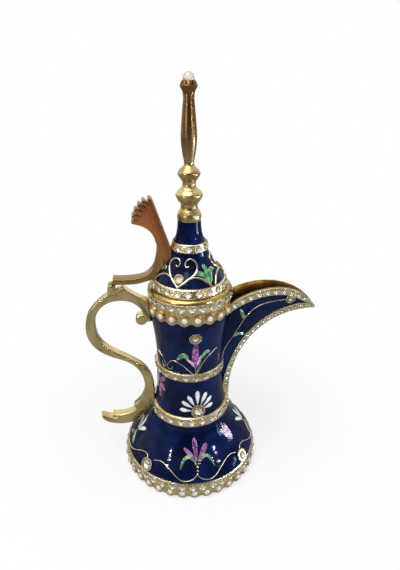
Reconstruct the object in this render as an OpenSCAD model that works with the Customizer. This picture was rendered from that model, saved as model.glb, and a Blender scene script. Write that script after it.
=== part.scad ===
// Ornamental dallah: an enamelled, jewelled Arabic coffee pot with a hinged lid.
// Millimetres.  +Z is up, +X points to the spout, the handle is at -X, and the
// origin is the centre of the flat underside of the foot.

/* [Foot] */
// Outer radius of the foot ring
foot_r = 30.5; // [26:0.1:34]
// Height of the foot ring
foot_h = 8; // [7.6:0.1:10]
// Height of the pearl row above the ground
foot_pearl_z = 2.6; // [2.3:0.1:2.9]
// Thickness of the plate that closes the foot
plate_t = 1.2; // [0.8:0.1:2]

/* [Belly] */
// Height of the belly from the foot ring to the shoulder joint
belly_h = 23; // [20:0.5:28]
// Step in from the foot ring to the belly above it
belly_step = 0.5; // [0.2:0.1:2]
// Radius at the shoulder joint
shoulder_r = 16.8; // [15.6:0.1:18]
// Wall of the belly, the neck and the lid
wall = 1.2; // [0.9:0.1:1.6]

/* [Neck] */
// Height from the shoulder joint to the waist
lower_neck_h = 22; // [18:0.5:26]
// Height from the waist to the collar
upper_neck_h = 27.4; // [24:0.5:32]
// Radius at the waist
waist_r = 14.5; // [13:0.1:15.5]
// Radius under the collar
neck_top_r = 16.8; // [16:0.1:17.6]
// Height of the shoulder band
shoulder_band_h = 4.4; // [3.8:0.1:5]
// Height of the waist band
waist_band_h = 4; // [3.6:0.1:4.6]
// How far the bands stand off the enamel
band_t = 0.8; // [0.6:0.05:1.2]

/* [Collar and rim] */
// Height of the pearl collar
collar_h = 4.8; // [4.4:0.1:5.4]
// Height of the crystal band of the rim
rim_h = 3.7; // [3.3:0.1:4.2]
// Height of the polished flange above the rim
flange_h = 1.6; // [1.2:0.1:2]
// Width of the rim between the mouth and the neck
rim_w = 3.2; // [2.8:0.1:4]
// Outer diameter of a scalloped pearl cup
cup_d = 4.5; // [4:0.1:4.9]

/* [Lid] */
// How far the foot of the lid laps over the rim of the mouth
lid_lap = 1.8; // [1.4:0.1:2.2]
// Height of the jewelled band round the foot of the lid
lid_band_h = 3.7; // [3.3:0.1:4.2]
// Height of the domed lid above that band
dome_h = 11.8; // [10:0.2:15]
// Radius of the crown of the dome
crown_r = 7.3; // [7:0.1:8.6]
// Height of the jewelled band round the crown
crown_band_h = 3.3; // [2.9:0.1:3.6]
// Gap between the closed lid and the rim
lid_gap = 0.15; // [0.1:0.05:0.3]
// Depth of the collar that centres the lid in the mouth
spigot_h = 3; // [2:0.1:3.6]
// Radial clearance of that collar in the mouth
spigot_gap = 0.35; // [0.3:0.05:0.5]

/* [Finial] */
// Height of the enamelled cone
cone_h = 11.6; // [9:0.2:13]
// Radius at the top of the cone
cone_top_r = 4.5; // [4:0.1:5]
// Height of the bell-shaped cup on the cone
bell_h = 6.4; // [5.4:0.2:7.4]
// Radius of the bell-shaped cup
bell_r = 4.7; // [4.2:0.1:5.4]
// Radius of the large bead
bead_r = 5.1; // [4.6:0.1:5.6]
// Radius of the small bead
bead2_r = 4.2; // [3.8:0.1:4.8]
// Length of the baluster above the beads
baluster_h = 21.6; // [18:0.2:26]
// Largest radius of the baluster
baluster_r = 3; // [2.8:0.1:3.9]
// Height of the claw cup that holds the top pearl
claw_h = 5.2; // [4.6:0.1:6]
// Diameter of the top pearl
top_pearl_d = 4.2; // [3.8:0.1:4.6]
// Radius of the threaded stud that ties the finial to the lid
stud_r = 1.25; // [1:0.05:1.5]

/* [Stones] */
// Diameter of a crystal
crystal_d = 2.7; // [2.3:0.05:2.9]
// Diameter of a pearl
pearl_d = 3; // [2.6:0.05:3.2]
// Spacing of the crystals round the belt of the foot
foot_crystal_pitch = 4.5; // [3.6:0.05:6]
// Spacing of the pearls
pearl_pitch = 5.4; // [5:0.05:7]
// Spacing of the crystals in the other bands
crystal_pitch = 4.25; // [3.3:0.05:6]
// Spacing of the crystals along the lip of the spout
spout_pitch = 3.8; // [3.2:0.05:6]
// Spacing of the smaller crystals along its keel
keel_pitch = 3; // [2.6:0.05:6]
// Depth of the seat of a crystal
seat_depth = 0.35; // [0.25:0.05:0.45]
// Radial clearance of a stone in its seat
seat_gap = 0.05; // [0.03:0.01:0.1]

/* [Spout] */
// Distance of the tip of the beak from the axis
spout_reach = 55.2; // [48:0.2:62]
// Depth of the tip below the top of the rim
tip_drop = 13; // [10:0.5:16]
// Half width of the channel where it leaves the neck
spout_half_w = 5.8; // [5:0.1:6.6]
// Half width of the keel
keel_half_w = 1.5; // [1.2:0.1:2]
// How far the keel stands off the neck at its tail
keel_ridge = 2.4; // [2:0.1:3.6]
// Wall of the spout
spout_wall = 1.1; // [0.8:0.1:1.4]
// Height of the jewelled strips along the lip and the keel
strip_h = 3.2; // [3:0.1:3.6]
// Thickness of these strips
strip_t = 0.6; // [0.5:0.05:0.8]
// Layer of solder between the strips and the spout
solder = 0.04; // [0.02:0.01:0.1]

/* [Handle] */
// Width of the handle
handle_w = 4.2; // [3.6:0.1:5]
// Radius of the scroll at the top of the handle
curl_r = 2.4; // [2:0.1:2.8]
// Distance from the axis of the pot to the hinge
hinge_x = 31.8; // [31:0.1:32.4]
// Radius of the hinge pin
pin_r = 0.65; // [0.5:0.05:0.8]
// Running clearance of the pin in the knuckle
pin_gap = 0.05; // [0.03:0.01:0.1]
// Radius of the knuckle and of the ears
knuckle_r = 1.5; // [1.4:0.05:1.6]
// Side clearance of the knuckle between the ears
ear_gap = 0.2; // [0.15:0.05:0.3]
// Thickness of an ear
ear_t = 1.1; // [0.9:0.1:1.4]

/* [Thumb lever] */
// Thickness of the lever
lever_w = 5; // [4:0.1:6]
// Number of fingers on the comb
comb_n = 6; // [4:1:7]
// Width of a finger
finger_w = 1.5; // [1.2:0.05:1.8]
// Depth of the notches between the fingers
notch_depth = 1.9; // [1.4:0.1:2.4]

/* [Hidden] */

cobalt = "#16235f";
gold = "#c9a552";
pearl_white = "#f1ebe0";
crystal_white = "#e4ebf2";

// Heights of the joints between the pieces
shoulder_z = foot_h + belly_h;
waist_z = shoulder_z + lower_neck_h;
collar_z = waist_z + upper_neck_h;
rim_z = collar_z + collar_h;
flange_z = rim_z + rim_h;
mouth_z = flange_z + flange_h;
lid_z = mouth_z + lid_gap;
dome_z = lid_z + lid_band_h;
crown_z = dome_z + dome_h;
cone_z = crown_z;
bell_z = cone_z + cone_h;
stem_z = bell_z + bell_h;
claw_z = stem_z + 15.6 + baluster_h;
top_z = claw_z + claw_h;

// Radii that follow from the ones above
belly_r = foot_r - belly_step;
mouth_r = neck_top_r - rim_w;
lid_r = mouth_r + lid_lap;
neck_wall_r = neck_top_r - wall;
collar_r = neck_top_r + 0.5;
rim_r = collar_r + 0.1;
cup_out_r = collar_r + 0.45;
pearl_axis_r = cup_out_r - 0.75;
dome_foot_r = lid_r - 1.2;
cone_r = crown_r - 0.9;
fine = 96;

// Cubic Bezier point, and a run of n of them
function bez(a, b, c, d, t) =
    a * pow(1 - t, 3) + b * 3 * t * pow(1 - t, 2) + c * 3 * t * t * (1 - t) + d * pow(t, 3);
function curve(a, b, c, d, n) = [for (i = [0:n]) bez(a, b, c, d, i / n)];

// Catmull-Rom spline through every point of p, with n steps between two points
function spline_pt(a, b, c, d, t) =
    0.5 * (2 * b + (c - a) * t + (2 * a - 5 * b + 4 * c - d) * t * t
        + (3 * b - a - 3 * c + d) * t * t * t);
function spline(p, n) = [
    for (i = [0:len(p) - 2], k = [0:n - 1])
        spline_pt(p[max(i - 1, 0)], p[i], p[i + 1], p[min(i + 2, len(p) - 1)], k / n),
    p[len(p) - 1]];

function reversed(p) = [for (i = [len(p) - 1:-1:0]) p[i]];
function inset(p, d) = [for (q = p) [q[0] - d, q[1]]];
// Radius of a profile of [r, z] points at a height
function r_at(p, z) = lookup(z, [for (q = p) [q[1], q[0]]]);
// Rise of the outward normal of a profile at a height, in degrees
function rise_at(p, z) = atan2(r_at(p, z - 0.6) - r_at(p, z + 0.6), 1.2);
function turn_gap(a, b) = abs((a - b + 540) % 360 - 180);
function clear_of(a, gaps) =
    len([for (g = gaps) if (turn_gap(a, g[0]) < g[1]) 1]) == 0;
function fit_count(r, pitch) = floor(2 * PI * r / pitch);

// Outer profiles, as [radius, height] from the bottom up
belly_line = curve([belly_r, foot_h], [belly_r - 1, foot_h + 4.6],
    [shoulder_r + 1.5, shoulder_z - 10.5], [shoulder_r, shoulder_z], 12);
lower_neck_line = curve([shoulder_r, shoulder_z], [shoulder_r - 1.6, shoulder_z + 6],
    [waist_r, waist_z - 9], [waist_r, waist_z], 8);
upper_neck_line = curve([waist_r, waist_z], [waist_r, waist_z + 9],
    [waist_r + 0.6, collar_z - 13], [neck_top_r, collar_z - 2], 8);
dome_line = curve([dome_foot_r, dome_z], [dome_foot_r - 2.2, dome_z + 3.4],
    [crown_r + 0.4, crown_z - 4], [crown_r, crown_z], 8);
skin_line = concat(belly_line, [for (i = [1:8]) lower_neck_line[i]],
    [for (i = [1:8]) upper_neck_line[i]], [[neck_top_r, collar_z]]);

module revolve(points, n = fine) rotate_extrude($fn = n) polygon(points);

// The whole pot as a solid, used to cut what is soldered to it to shape
module pot_solid(n = fine)
    revolve(concat([[0, foot_h]], skin_line, [[collar_r, collar_z], [collar_r, rim_z],
        [rim_r, rim_z], [rim_r, flange_z], [mouth_r, mouth_z], [0, mouth_z]]), n);

// Copies of the children on a circle, +Z outwards and raised by rise
module around(n, r, z, rise, gaps) {
    for (i = [0:n - 1])
        if (clear_of(i * 360 / n, gaps))
            rotate([0, 0, i * 360 / n]) translate([r, 0, z]) rotate([0, 90 - rise, 0])
                children();
}

// Flat-backed crystal standing in its seat, and the tool that cuts the seat
module crystal(d) translate([0, 0, -seat_depth]) 
    cylinder(h = d * 0.3, d1 = d, d2 = d * 0.6, $fn = 8);
module seat(d) translate([0, 0, -seat_depth]) cylinder(h = 2, d = d + 2 * seat_gap, $fn = 24);
module pearl(d) sphere(d = d, $fn = 20);
module pearl_seat() sphere(d = pearl_d + 2 * seat_gap, $fn = 20);

// ---- Foot ----
foot_pearl_n = fit_count(foot_r, pearl_pitch);
foot_crystal_n = fit_count(foot_r, foot_crystal_pitch);
foot_pearl_r = foot_r - 0.2;
belt_r = foot_r + 0.2;
belt_z = foot_h - 2.1;
belt_rise = 14;

module foot_ring() color(gold) difference() {
    union() {
        revolve([[foot_r - 3.4, 0], [foot_r - 0.8, 0], [foot_r - 0.2, 0.6],
            [foot_r - 0.2, foot_pearl_z + 1.2], [belt_r + 0.2, foot_h - 3.7],
            [belt_r + 0.4, foot_h - 3.4], [belt_r - 0.3, foot_h - 0.6],
            [belt_r - 0.7, foot_h], [foot_r - 3.4, foot_h]]);
        around(foot_pearl_n, foot_r - 1.8, foot_pearl_z, 0, [])
            cylinder(h = 2.2, d = cup_d, $fn = 24);
    }
    around(foot_pearl_n, foot_pearl_r, foot_pearl_z, 0, []) pearl_seat();
    around(foot_crystal_n, belt_r, belt_z, belt_rise, []) seat(crystal_d);
}

module foot_pearls() color(pearl_white)
    around(foot_pearl_n, foot_pearl_r, foot_pearl_z, 0, []) pearl(pearl_d);

module foot_crystals() color(crystal_white)
    around(foot_crystal_n, belt_r, belt_z, belt_rise, []) crystal(crystal_d);

module base_plate() color(gold)
    translate([0, 0, 0.6]) cylinder(h = plate_t, r = foot_r - 3.4, $fn = fine);

// ---- Belly and neck ----
module belly_shell() color(cobalt)
    revolve(concat(belly_line, reversed(inset(belly_line, wall))));

module neck_shell() color(cobalt) difference() {
    revolve(concat(lower_neck_line, [for (i = [1:8]) upper_neck_line[i]],
        [[neck_top_r, flange_z], [mouth_r, flange_z], [mouth_r, rim_z]],
        [[neck_wall_r, collar_z - 2]],
        reversed(inset([for (i = [0:7]) upper_neck_line[i]], wall)),
        reversed(inset([for (i = [0:7]) lower_neck_line[i]], wall))));
    // pouring window behind the beak
    translate([waist_r - 6, -window_half_w, window_z])
        cube([12, 2 * window_half_w, window_h]);
    translate([waist_r - 6, 0, window_z]) rotate([0, 90, 0])
        cylinder(h = 12, r = window_half_w, $fn = 32);
}
window_half_w = spout_half_w - spout_wall - 1.3;
window_z = waist_z + 8.5;
window_h = collar_z - 3 - window_z;

// Bands soldered over the joints: a flat-faced hoop whose back is the skin below it
module hoop(z, h, t) {
    zs = [for (i = [0:8]) z + h * i / 8];
    back = [for (q = zs) [r_at(skin_line, q), q]];
    face = [[back[0][0] + t * 0.6, z], [back[1][0] + t, z + 0.4],
        [back[7][0] + t, z + h - 0.4], [back[8][0] + t * 0.6, z + h]];
    revolve(concat(face, reversed(back)));
}
function hoop_r(z, t) = r_at(skin_line, z) + t;

shoulder_mid = shoulder_z - 0.2;
shoulder_rise = rise_at(skin_line, shoulder_mid);
shoulder_n = fit_count(shoulder_r, crystal_pitch + 0.15);
shoulder_gap = [[180, 13]];
waist_n = fit_count(waist_r, crystal_pitch);
waist_gaps = [[0, 28]];

module shoulder_band() color(gold) difference() {
    hoop(shoulder_mid - shoulder_band_h / 2, shoulder_band_h, band_t);
    around(shoulder_n, hoop_r(shoulder_mid, band_t), shoulder_mid, shoulder_rise, shoulder_gap)
        seat(crystal_d);
}
module shoulder_crystals() color(crystal_white)
    around(shoulder_n, hoop_r(shoulder_mid, band_t), shoulder_mid, shoulder_rise, shoulder_gap)
        crystal(crystal_d);

module waist_band() color(gold) difference() {
    hoop(waist_z - waist_band_h / 2, waist_band_h, band_t);
    around(waist_n, hoop_r(waist_z, band_t), waist_z, 0, waist_gaps) seat(crystal_d);
    spout_solid(strip_t);
}
module waist_crystals() color(crystal_white)
    around(waist_n, hoop_r(waist_z, band_t), waist_z, 0, waist_gaps) crystal(crystal_d);

// ---- Collar and rim ----
collar_n = fit_count(pearl_axis_r, pearl_pitch - 0.4);
collar_pearl_z = collar_z + cup_d / 2 - 0.45;
collar_gaps = [[0, 23], [180, 11]];
rim_n = fit_count(rim_r, crystal_pitch - 0.25);
rim_crystal_z = rim_z + rim_h / 2 + 0.2;
rim_gaps = [[180, 10]];

module pearl_collar() color(gold) difference() {
    union() {
        revolve([[neck_top_r, collar_z], [collar_r, collar_z + 0.3],
            [collar_r, rim_z], [neck_top_r, rim_z]]);
        difference() {
            around(collar_n, neck_top_r - 0.6, collar_pearl_z, 0, collar_gaps)
                cylinder(h = cup_out_r - neck_top_r + 0.6, d = cup_d, $fn = 24);
            revolve(concat(skin_line, [[neck_top_r, rim_z], [0, rim_z], [0, foot_h]]));
        }
    }
    around(collar_n, pearl_axis_r, collar_pearl_z, 0, collar_gaps) pearl_seat();
    spout_solid(strip_t);
}
module collar_pearls() color(pearl_white) difference() {
    around(collar_n, pearl_axis_r, collar_pearl_z, 0, collar_gaps) pearl(pearl_d);
    cylinder(h = rim_z, r = neck_top_r, $fn = fine);
}

module rim_band() color(gold) difference() {
    revolve([[neck_top_r, rim_z], [rim_r - 0.2, rim_z], [rim_r, rim_z + 0.3],
        [rim_r, flange_z - 0.3], [rim_r - 0.2, flange_z], [neck_top_r, flange_z]]);
    around(rim_n, rim_r, rim_crystal_z, 0, rim_gaps) seat(crystal_d);
}
module rim_crystals() color(crystal_white)
    around(rim_n, rim_r, rim_crystal_z, 0, rim_gaps) crystal(crystal_d);

module rim_flange() color(gold)
    revolve(concat([[mouth_r, flange_z]],
        curve([rim_r - 0.1, flange_z], [rim_r - 0.1, flange_z + flange_h * 0.6],
            [rim_r - 0.8, mouth_z], [rim_r - 1.9, mouth_z], 6), [[mouth_r, mouth_z]]));

// ---- Spout: an open beak lofted along its keel ----
// t runs from the tail of the keel (0), past the root of the lip (root_t), to the tip (1)
root_t = 0.4;
tail_z = shoulder_z + 2.3;
tip = [spout_reach, mouth_z - tip_drop - 1.2];
keel_x = waist_r + keel_ridge + 0.3 - strip_t;
tail_x = max(r_at(skin_line, tail_z) + 1, keel_x);
root_x = waist_r - 2.2;
lip_x = neck_top_r - 3.8;
function keel_at(t) = bez([tail_x, tail_z], [keel_x, tail_z + 27.2],
    [keel_x + 16.8, tip[1] + 2.4], tip, t);
function lip_at(t) = bez([lip_x, collar_z - 0.4], [lip_x + 9, collar_z + 8.4],
    [spout_reach - 11.2, mouth_z + 3.4], tip + [0, 0.5], (t - root_t) / (1 - root_t));
function top_at(t) = t < root_t
    ? [root_x, tail_z + (collar_z - 0.4 - tail_z) * t / root_t]
        + [(lip_x - root_x) * t / root_t, 0]
    : lip_at(t);
function half_w(t) = t < root_t
    ? keel_half_w + 0.3 + (spout_half_w - keel_half_w - 0.3) * pow(sin(90 * t / root_t), 1.4)
    : 0.3 + (spout_half_w - 0.3) * (1 - pow((t - root_t) / (1 - root_t), 1.8));
function keel_w(t) = min(half_w(t) - 0.05, keel_half_w * (1 - pow(t, 5)) + 0.2);
function depth_at(t) = norm(keel_at(t) - top_at(t));
// Point of the section at t: u is 0 at the lip and 1 at the keel, side is -1 or 1, and g
// moves it outwards
function cheek(t, u, side, g) =
    let (d = depth_at(t), e = (keel_at(t) - top_at(t)) / d, w = half_w(t), k = keel_w(t),
        y = k + (w - k) * (1 - pow(u, 2.2)), slope = 2.2 * (w - k) * pow(u, 1.2) / d,
        m = sqrt(1 + slope * slope), q = top_at(t) + e * (u * d + g * slope / m))
    [q[0], side * (y + g / m), q[1]];
function keel_point(t, side, g) =
    let (e = (keel_at(t) - top_at(t)) / depth_at(t), q = keel_at(t) + e * g)
    [q[0], side * (keel_w(t) + g * 0.6), q[1]];
u_steps = [0, 0.2, 0.4, 0.6, 0.8, 0.93];

// Skin over a list of rings of equal length
module loft(rings) {
    m = len(rings[0]);
    n = len(rings);
    polyhedron([for (r = rings, p = r) p],
        concat([[for (j = [0:m - 1]) j]], [[for (j = [m - 1:-1:0]) (n - 1) * m + j]],
            [for (i = [0:n - 2], j = [0:m - 1], h = [0, 1])
                let (a = i * m + j, b = i * m + (j + 1) % m)
                h == 0 ? [a, a + m, b] : [b, a + m, b + m]]), convexity = 6);
}

function spout_ring(t, g) = concat(
    [for (u = u_steps) cheek(t, u, -1, g)], [keel_point(t, -1, g), keel_point(t, 1, g)],
    [for (u = reversed(u_steps)) cheek(t, u, 1, g)]);
module spout_solid(g) loft([for (i = [0:16]) spout_ring(i / 16, g)]);

// The channel inside: it starts behind the root and runs out before the tip
channel_from = 0.26;
channel_to = 0.94;
function channel_ring(t) =
    let (d = depth_at(t), w = max(half_w(t) - spout_wall, 0.3), k = max(keel_w(t) - spout_wall, 0.15),
        bottom = max(1 - spout_wall / d, 0.3), e = keel_at(t) - top_at(t), top = top_at(t) - e / d * 3)
    concat([[top[0], -w, top[1]]],
        [for (s = [0:4]) let (u = bottom * s / 4, q = top_at(t) + e * u)
            [q[0], -k - (w - k) * (1 - pow(s / 4, 2.2)), q[1]]],
        [for (s = [4:-1:0]) let (u = bottom * s / 4, q = top_at(t) + e * u)
            [q[0], k + (w - k) * (1 - pow(s / 4, 2.2)), q[1]]],
        [[top[0], w, top[1]]]);

module spout_shell() color(cobalt) difference() {
    spout_solid(0);
    loft([for (i = [0:12]) channel_ring(channel_from + (channel_to - channel_from) * i / 12)]);
    pot_solid();
}

// Jewelled strips: two along the lips, one wrapped round the keel
function strip_u(t) = min(strip_h / depth_at(t), 0.48);
function lip_ring(t, side) = let (s = strip_u(t)) concat(
    [for (k = [0:3]) cheek(t, s * k / 3, side, 0)],
    [for (k = [3:-1:0]) cheek(t, s * k / 3, side, strip_t)]);
module lip_solid(side) {
    rings = [for (i = [0:12]) lip_ring(root_t + (1 - root_t) * i / 12, side)];
    if (side > 0) loft(rings);
    else loft([for (r = rings) reversed(r)]);
}
function keel_ring(t) = let (v = 1 - strip_u(t)) concat(
    [for (u = [v, (v + 0.93) / 2, 0.93]) cheek(t, max(u, v), 1, strip_t)],
    [keel_point(t, 1, strip_t), keel_point(t, -1, strip_t)],
    [for (u = [0.93, (v + 0.93) / 2, v]) cheek(t, max(u, v), -1, strip_t)],
    [for (u = [v, (v + 0.93) / 2, 0.93]) cheek(t, max(u, v), -1, solder)],
    [keel_point(t, -1, solder), keel_point(t, 1, solder)],
    [for (u = [0.93, (v + 0.93) / 2, v]) cheek(t, max(u, v), 1, solder)]);

// Stones at even steps along the strips: t of each stone, found by walking the strip
walk = [for (i = [0:80]) i / 80];
function run_to(f, i) = i == 0 ? 0 : run_to(f, i - 1) + norm(f[i] - f[i - 1]);
lip_path = [for (q = walk) lip_at(root_t + (1 - root_t) * q)];
lip_run = [for (i = [0:80]) [run_to(lip_path, i), root_t + (1 - root_t) * walk[i]]];
keel_path = [for (q = walk) keel_at(q)];
keel_run = [for (i = [0:80]) [run_to(keel_path, i), walk[i]]];
spout_crystal_d = crystal_d - 0.3;
keel_crystal_d = crystal_d - 0.6;
lip_from = 5.6;
lip_to = lip_run[80][0] - 6.5;
keel_from = 5.6;
keel_to = keel_run[80][0] - 4.6;
keel_trim = 0.3;
keel_margin = keel_crystal_d / 2 + 0.3;
lip_stones = [for (s = [lip_from:spout_pitch:lip_to]) lookup(s, lip_run)];
keel_stones = [for (s = [keel_from:keel_pitch:keel_to]) lookup(s, keel_run)];

// Puts the children on the cheek at t and u, +Z along its outward normal
module on_cheek(t, u, side) {
    p = cheek(t, u, side, strip_t);
    a = cheek(min(t + 0.01, 1), u, side, strip_t) - cheek(max(t - 0.01, 0), u, side, strip_t);
    b = cheek(t, u + 0.02, side, strip_t) - cheek(t, u - 0.02, side, strip_t);
    c = cross(a, b) * side;
    n = c / norm(c);
    translate(p) rotate([0, acos(n[2]), atan2(n[1], n[0])]) children();
}
module lip_places() {
    for (t = lip_stones, side = [-1, 1]) on_cheek(t, strip_u(t) / 2, side) children();
}
module keel_places() {
    for (t = keel_stones, side = [-1, 1])
        on_cheek(t, 1 - min(strip_u(t) / 2, keel_margin / depth_at(t)), side) children();
}

module lip_strips() color(gold) difference() {
    union() {
        lip_solid(1);
        lip_solid(-1);
    }
    lip_places() seat(spout_crystal_d);
    pot_solid();
    collar_cups();
}
module lip_crystals() color(crystal_white) lip_places() crystal(spout_crystal_d);
module keel_strip() color(gold) difference() {
    loft([for (i = [0:16]) reversed(keel_ring(i / 16))]);
    keel_places() seat(keel_crystal_d);
    pot_solid();
    cylinder(h = tail_z + keel_trim, r = tail_x + 2 * strip_t, $fn = fine);
}
module keel_crystals() color(crystal_white) keel_places() crystal(keel_crystal_d);

module collar_cups()
    around(collar_n, neck_top_r - 0.6, collar_pearl_z, 0, collar_gaps)
        cylinder(h = cup_out_r - neck_top_r + 0.6, d = cup_d, $fn = 24);

// ---- Handle: a flat cast S with a scroll at the rim and a leaf at its foot ----
// Outlines as [distance from the pot, depth below the rim], drawn for a pot with drawn_h
// between the shoulder and the rim: the S stretches with the real height and follows both radii
drawn_h = 54.2;
function hp(points) = [for (q = points)
    let (f = min(max(-q[1] / drawn_h, 0), 1))
    [-q[0] - neck_top_r - f * (shoulder_r - neck_top_r),
        q[1] + rim_z - f * (rim_z - shoulder_z - drawn_h)]];
strap_top = [[-0.6, -1.6], [3.6, 0.4], [7.5, 3], [10.5, 5.5]];
strap_back = [[16, 3.1], [19.7, 0.4], [23, -2.9], [25.5, -6.3], [26.7, -10.6],
    [26.9, -15.3], [25.9, -19.2], [23.9, -22.6], [21.2, -25.3], [17.1, -27.9], [11.7, -30.4],
    [7.5, -33.8], [5, -38.3], [3.9, -43.7], [4.3, -48.4], [6.2, -52.6], [9.6, -56.2]];
leaf_back = [[8.2, -57.3], [9.8, -58.7], [12.2, -59.7], [15.6, -60.3], [19.7, -59.8]];
leaf_mid = [[18.2, -60.7], [17.2, -61.8], [20.4, -61.6], [24.8, -59.7]];
leaf_under = [[24, -62], [21.2, -64.3], [16.2, -65.6], [11.5, -65.3], [7.6, -64],
    [3.7, -60.7], [0.7, -55.6], [-0.4, -50.4], [-0.2, -44.3], [0.8, -39.7], [2.7, -35.9],
    [5.4, -32.7], [10.4, -28.9], [15.5, -25.6], [19.8, -22], [22.3, -17.6], [23, -12.6],
    [22.5, -8.1], [21, -4.7], [18.7, -2.4], [15.8, -0.9], [11.7, -0.5], [7.7, -1.4],
    [5, -3.4], [3.6, -5.3], [3, -7]];
curl_at = [-neck_top_r - 3.7, rim_z - 10.1];

module handle() color(gold) difference() {
    translate([0, handle_w / 2, 0]) rotate([90, 0, 0]) linear_extrude(handle_w) union() {
        polygon(concat(hp(spline(strap_top, 3)), hp(spline(strap_back, 3)),
            hp(spline(leaf_back, 3)), hp(spline(leaf_mid, 3)), hp(spline(leaf_under, 3)),
            [curl_at + [1, 0], curl_at + [curl_r * 0.7, -curl_r * 0.4],
                [-neck_wall_r, curl_at[1] - curl_r * 0.4]]));
        translate(curl_at) circle(r = curl_r, $fn = 32);
    }
    pot_solid();
    shoulder_ring_solid();
    // seat of the hinge yoke
    translate([-hinge_x - yoke_l / 2, -handle_w, yoke_z]) cube([yoke_l, 2 * handle_w, 9]);
}
module shoulder_ring_solid() hoop(shoulder_mid - shoulder_band_h / 2, shoulder_band_h, band_t);

// ---- Hinge ----
hinge_z = mouth_z - 0.1;
knuckle_w = handle_w - 2 * ear_t + 0.2;
yoke_l = 2 * knuckle_r + 0.8;
yoke_t = 0.8;
yoke_z = hinge_z - knuckle_r - 0.3 - yoke_t;
ear_in = knuckle_w / 2 + ear_gap;
ear_out = ear_in + ear_t;

module across(r, from, to) translate([-hinge_x, from, hinge_z]) rotate([-90, 0, 0])
    cylinder(h = to - from, r = r, $fn = 40);

module hinge_yoke() color(gold) difference() {
    union() {
        translate([-hinge_x - yoke_l / 2, -ear_out, yoke_z]) cube([yoke_l, 2 * ear_out, yoke_t]);
        for (s = [-1, 1]) {
            across(knuckle_r, s > 0 ? ear_in : -ear_out, s > 0 ? ear_out : -ear_in);
            translate([-hinge_x - knuckle_r, s > 0 ? ear_in : -ear_out, yoke_z])
                cube([2 * knuckle_r, ear_t, hinge_z - yoke_z]);
        }
    }
    across(pin_r, -ear_out - 1, ear_out + 1);
}

module hinge_pin() color(gold) {
    across(pin_r, -ear_out, ear_out);
    across(pin_r + 0.35, ear_out, ear_out + 0.5);
    across(pin_r + 0.35, -ear_out - 0.5, -ear_out);
}

// ---- Set stones: a bezel cup, its crystal and the place of each ----
// The cup stands bezel_h above the skin and is sunk bezel_sunk, so that a curved skin closes its foot
bezel_h = 0.9;
bezel_sunk = 0.8;
bezel_deep = 0.75;
bezel_wall = 0.65;
module bezel_cup(d) difference() {
    translate([0, 0, -bezel_sunk]) cylinder(h = bezel_sunk + bezel_h, d = d + 2 * bezel_wall, $fn = 48);
    translate([0, 0, bezel_h - bezel_deep]) cylinder(h = 2, d = d + 2 * seat_gap, $fn = 48);
}
module bezel_stone(d) translate([0, 0, bezel_h - bezel_deep])
    cylinder(h = d * 0.36, d1 = d, d2 = d * 0.55, $fn = 12);

// [angle from the spout, height, crystal diameter] of the stones on the pot
belly_stone_d = 3.6;
neck_stone_d = 2.8;
belly_stone_z = foot_h + 2.7;
flower_stone_z = shoulder_z + 5;
neck_stone_z = collar_z - 6.8;
spout_stone_d = 2.2;
pot_stones = concat(
    [for (a = [42, 138, 222, 318]) [a, belly_stone_z, belly_stone_d]],
    [for (a = [83.5, 276.5]) [a, flower_stone_z, belly_stone_d + 0.2]],
    [for (a = [88, 272]) [a, neck_stone_z, neck_stone_d]]);
module on_skin(line, a, z) rotate([0, 0, a]) translate([r_at(line, z), 0, z])
    rotate([0, 90 - rise_at(line, z), 0]) children();
spout_stone_t = 0.815;
spout_stone_u = 0.42;
module pot_bezels() color(gold) {
    difference() {
        for (s = pot_stones) on_skin(skin_line, s[0], s[1]) bezel_cup(s[2]);
        pot_solid(2 * fine);
    }
    difference() {
        for (side = [-1, 1]) on_cheek(spout_stone_t, spout_stone_u, side)
            translate([0, 0, -strip_t]) bezel_cup(spout_stone_d);
        spout_solid(0);
        lip_solid(1);
        lip_solid(-1);
    }
}
module pot_bezel_stones() color(crystal_white) {
    for (s = pot_stones) on_skin(skin_line, s[0], s[1]) bezel_stone(s[2]);
    for (side = [-1, 1]) on_cheek(spout_stone_t, spout_stone_u, side)
        translate([0, 0, -strip_t]) bezel_stone(spout_stone_d);
}

// ---- Lid ----
crown_t = 1.4;
spigot_r = mouth_r - spigot_gap;
lid_bore_r = dome_foot_r - wall;
lid_n = fit_count(lid_r, crystal_pitch);
lid_band_rise = 16;
lid_band_mid = lid_z + lid_band_h / 2;
lid_face_r = lid_r - 0.5 * lid_band_h * tan(lid_band_rise) + 0.15;
lever_gap = [[180, 12]];
crown_n = fit_count(crown_r, crystal_pitch - 0.4);
crown_mid = crown_z + crown_band_h / 2;
crown_face_r = crown_r + 0.1;
crown_in = 0.7;
crown_mid_r = crown_face_r - crown_in / 2 + 0.05;
crown_rise = atan(crown_in / crown_band_h);
nut_r = stud_r * 2.1;

module lid_shell() color(cobalt) difference() {
    revolve(concat([[dome_foot_r, lid_z]], dome_line,
        [[0, crown_z], [0, crown_z - crown_t], [nut_r + 0.4, crown_z - crown_t]],
        reversed(inset([for (i = [0:6]) dome_line[i]], wall)), [[lid_bore_r, lid_z]]));
    translate([0, 0, crown_z - 2 * crown_t]) cylinder(h = 4 * crown_t, r = stud_r, $fn = 32);
}

module lid_spigot() color(gold)
    revolve([[spigot_r - wall, mouth_z - spigot_h], [spigot_r, mouth_z - spigot_h],
        [spigot_r, mouth_z], [min(spigot_r, lid_bore_r), lid_z], [lid_bore_r, lid_z],
        [lid_bore_r, lid_z + 1.6], [lid_bore_r - 0.8, lid_z + 1.6],
        [spigot_r - wall, lid_z]]);

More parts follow.
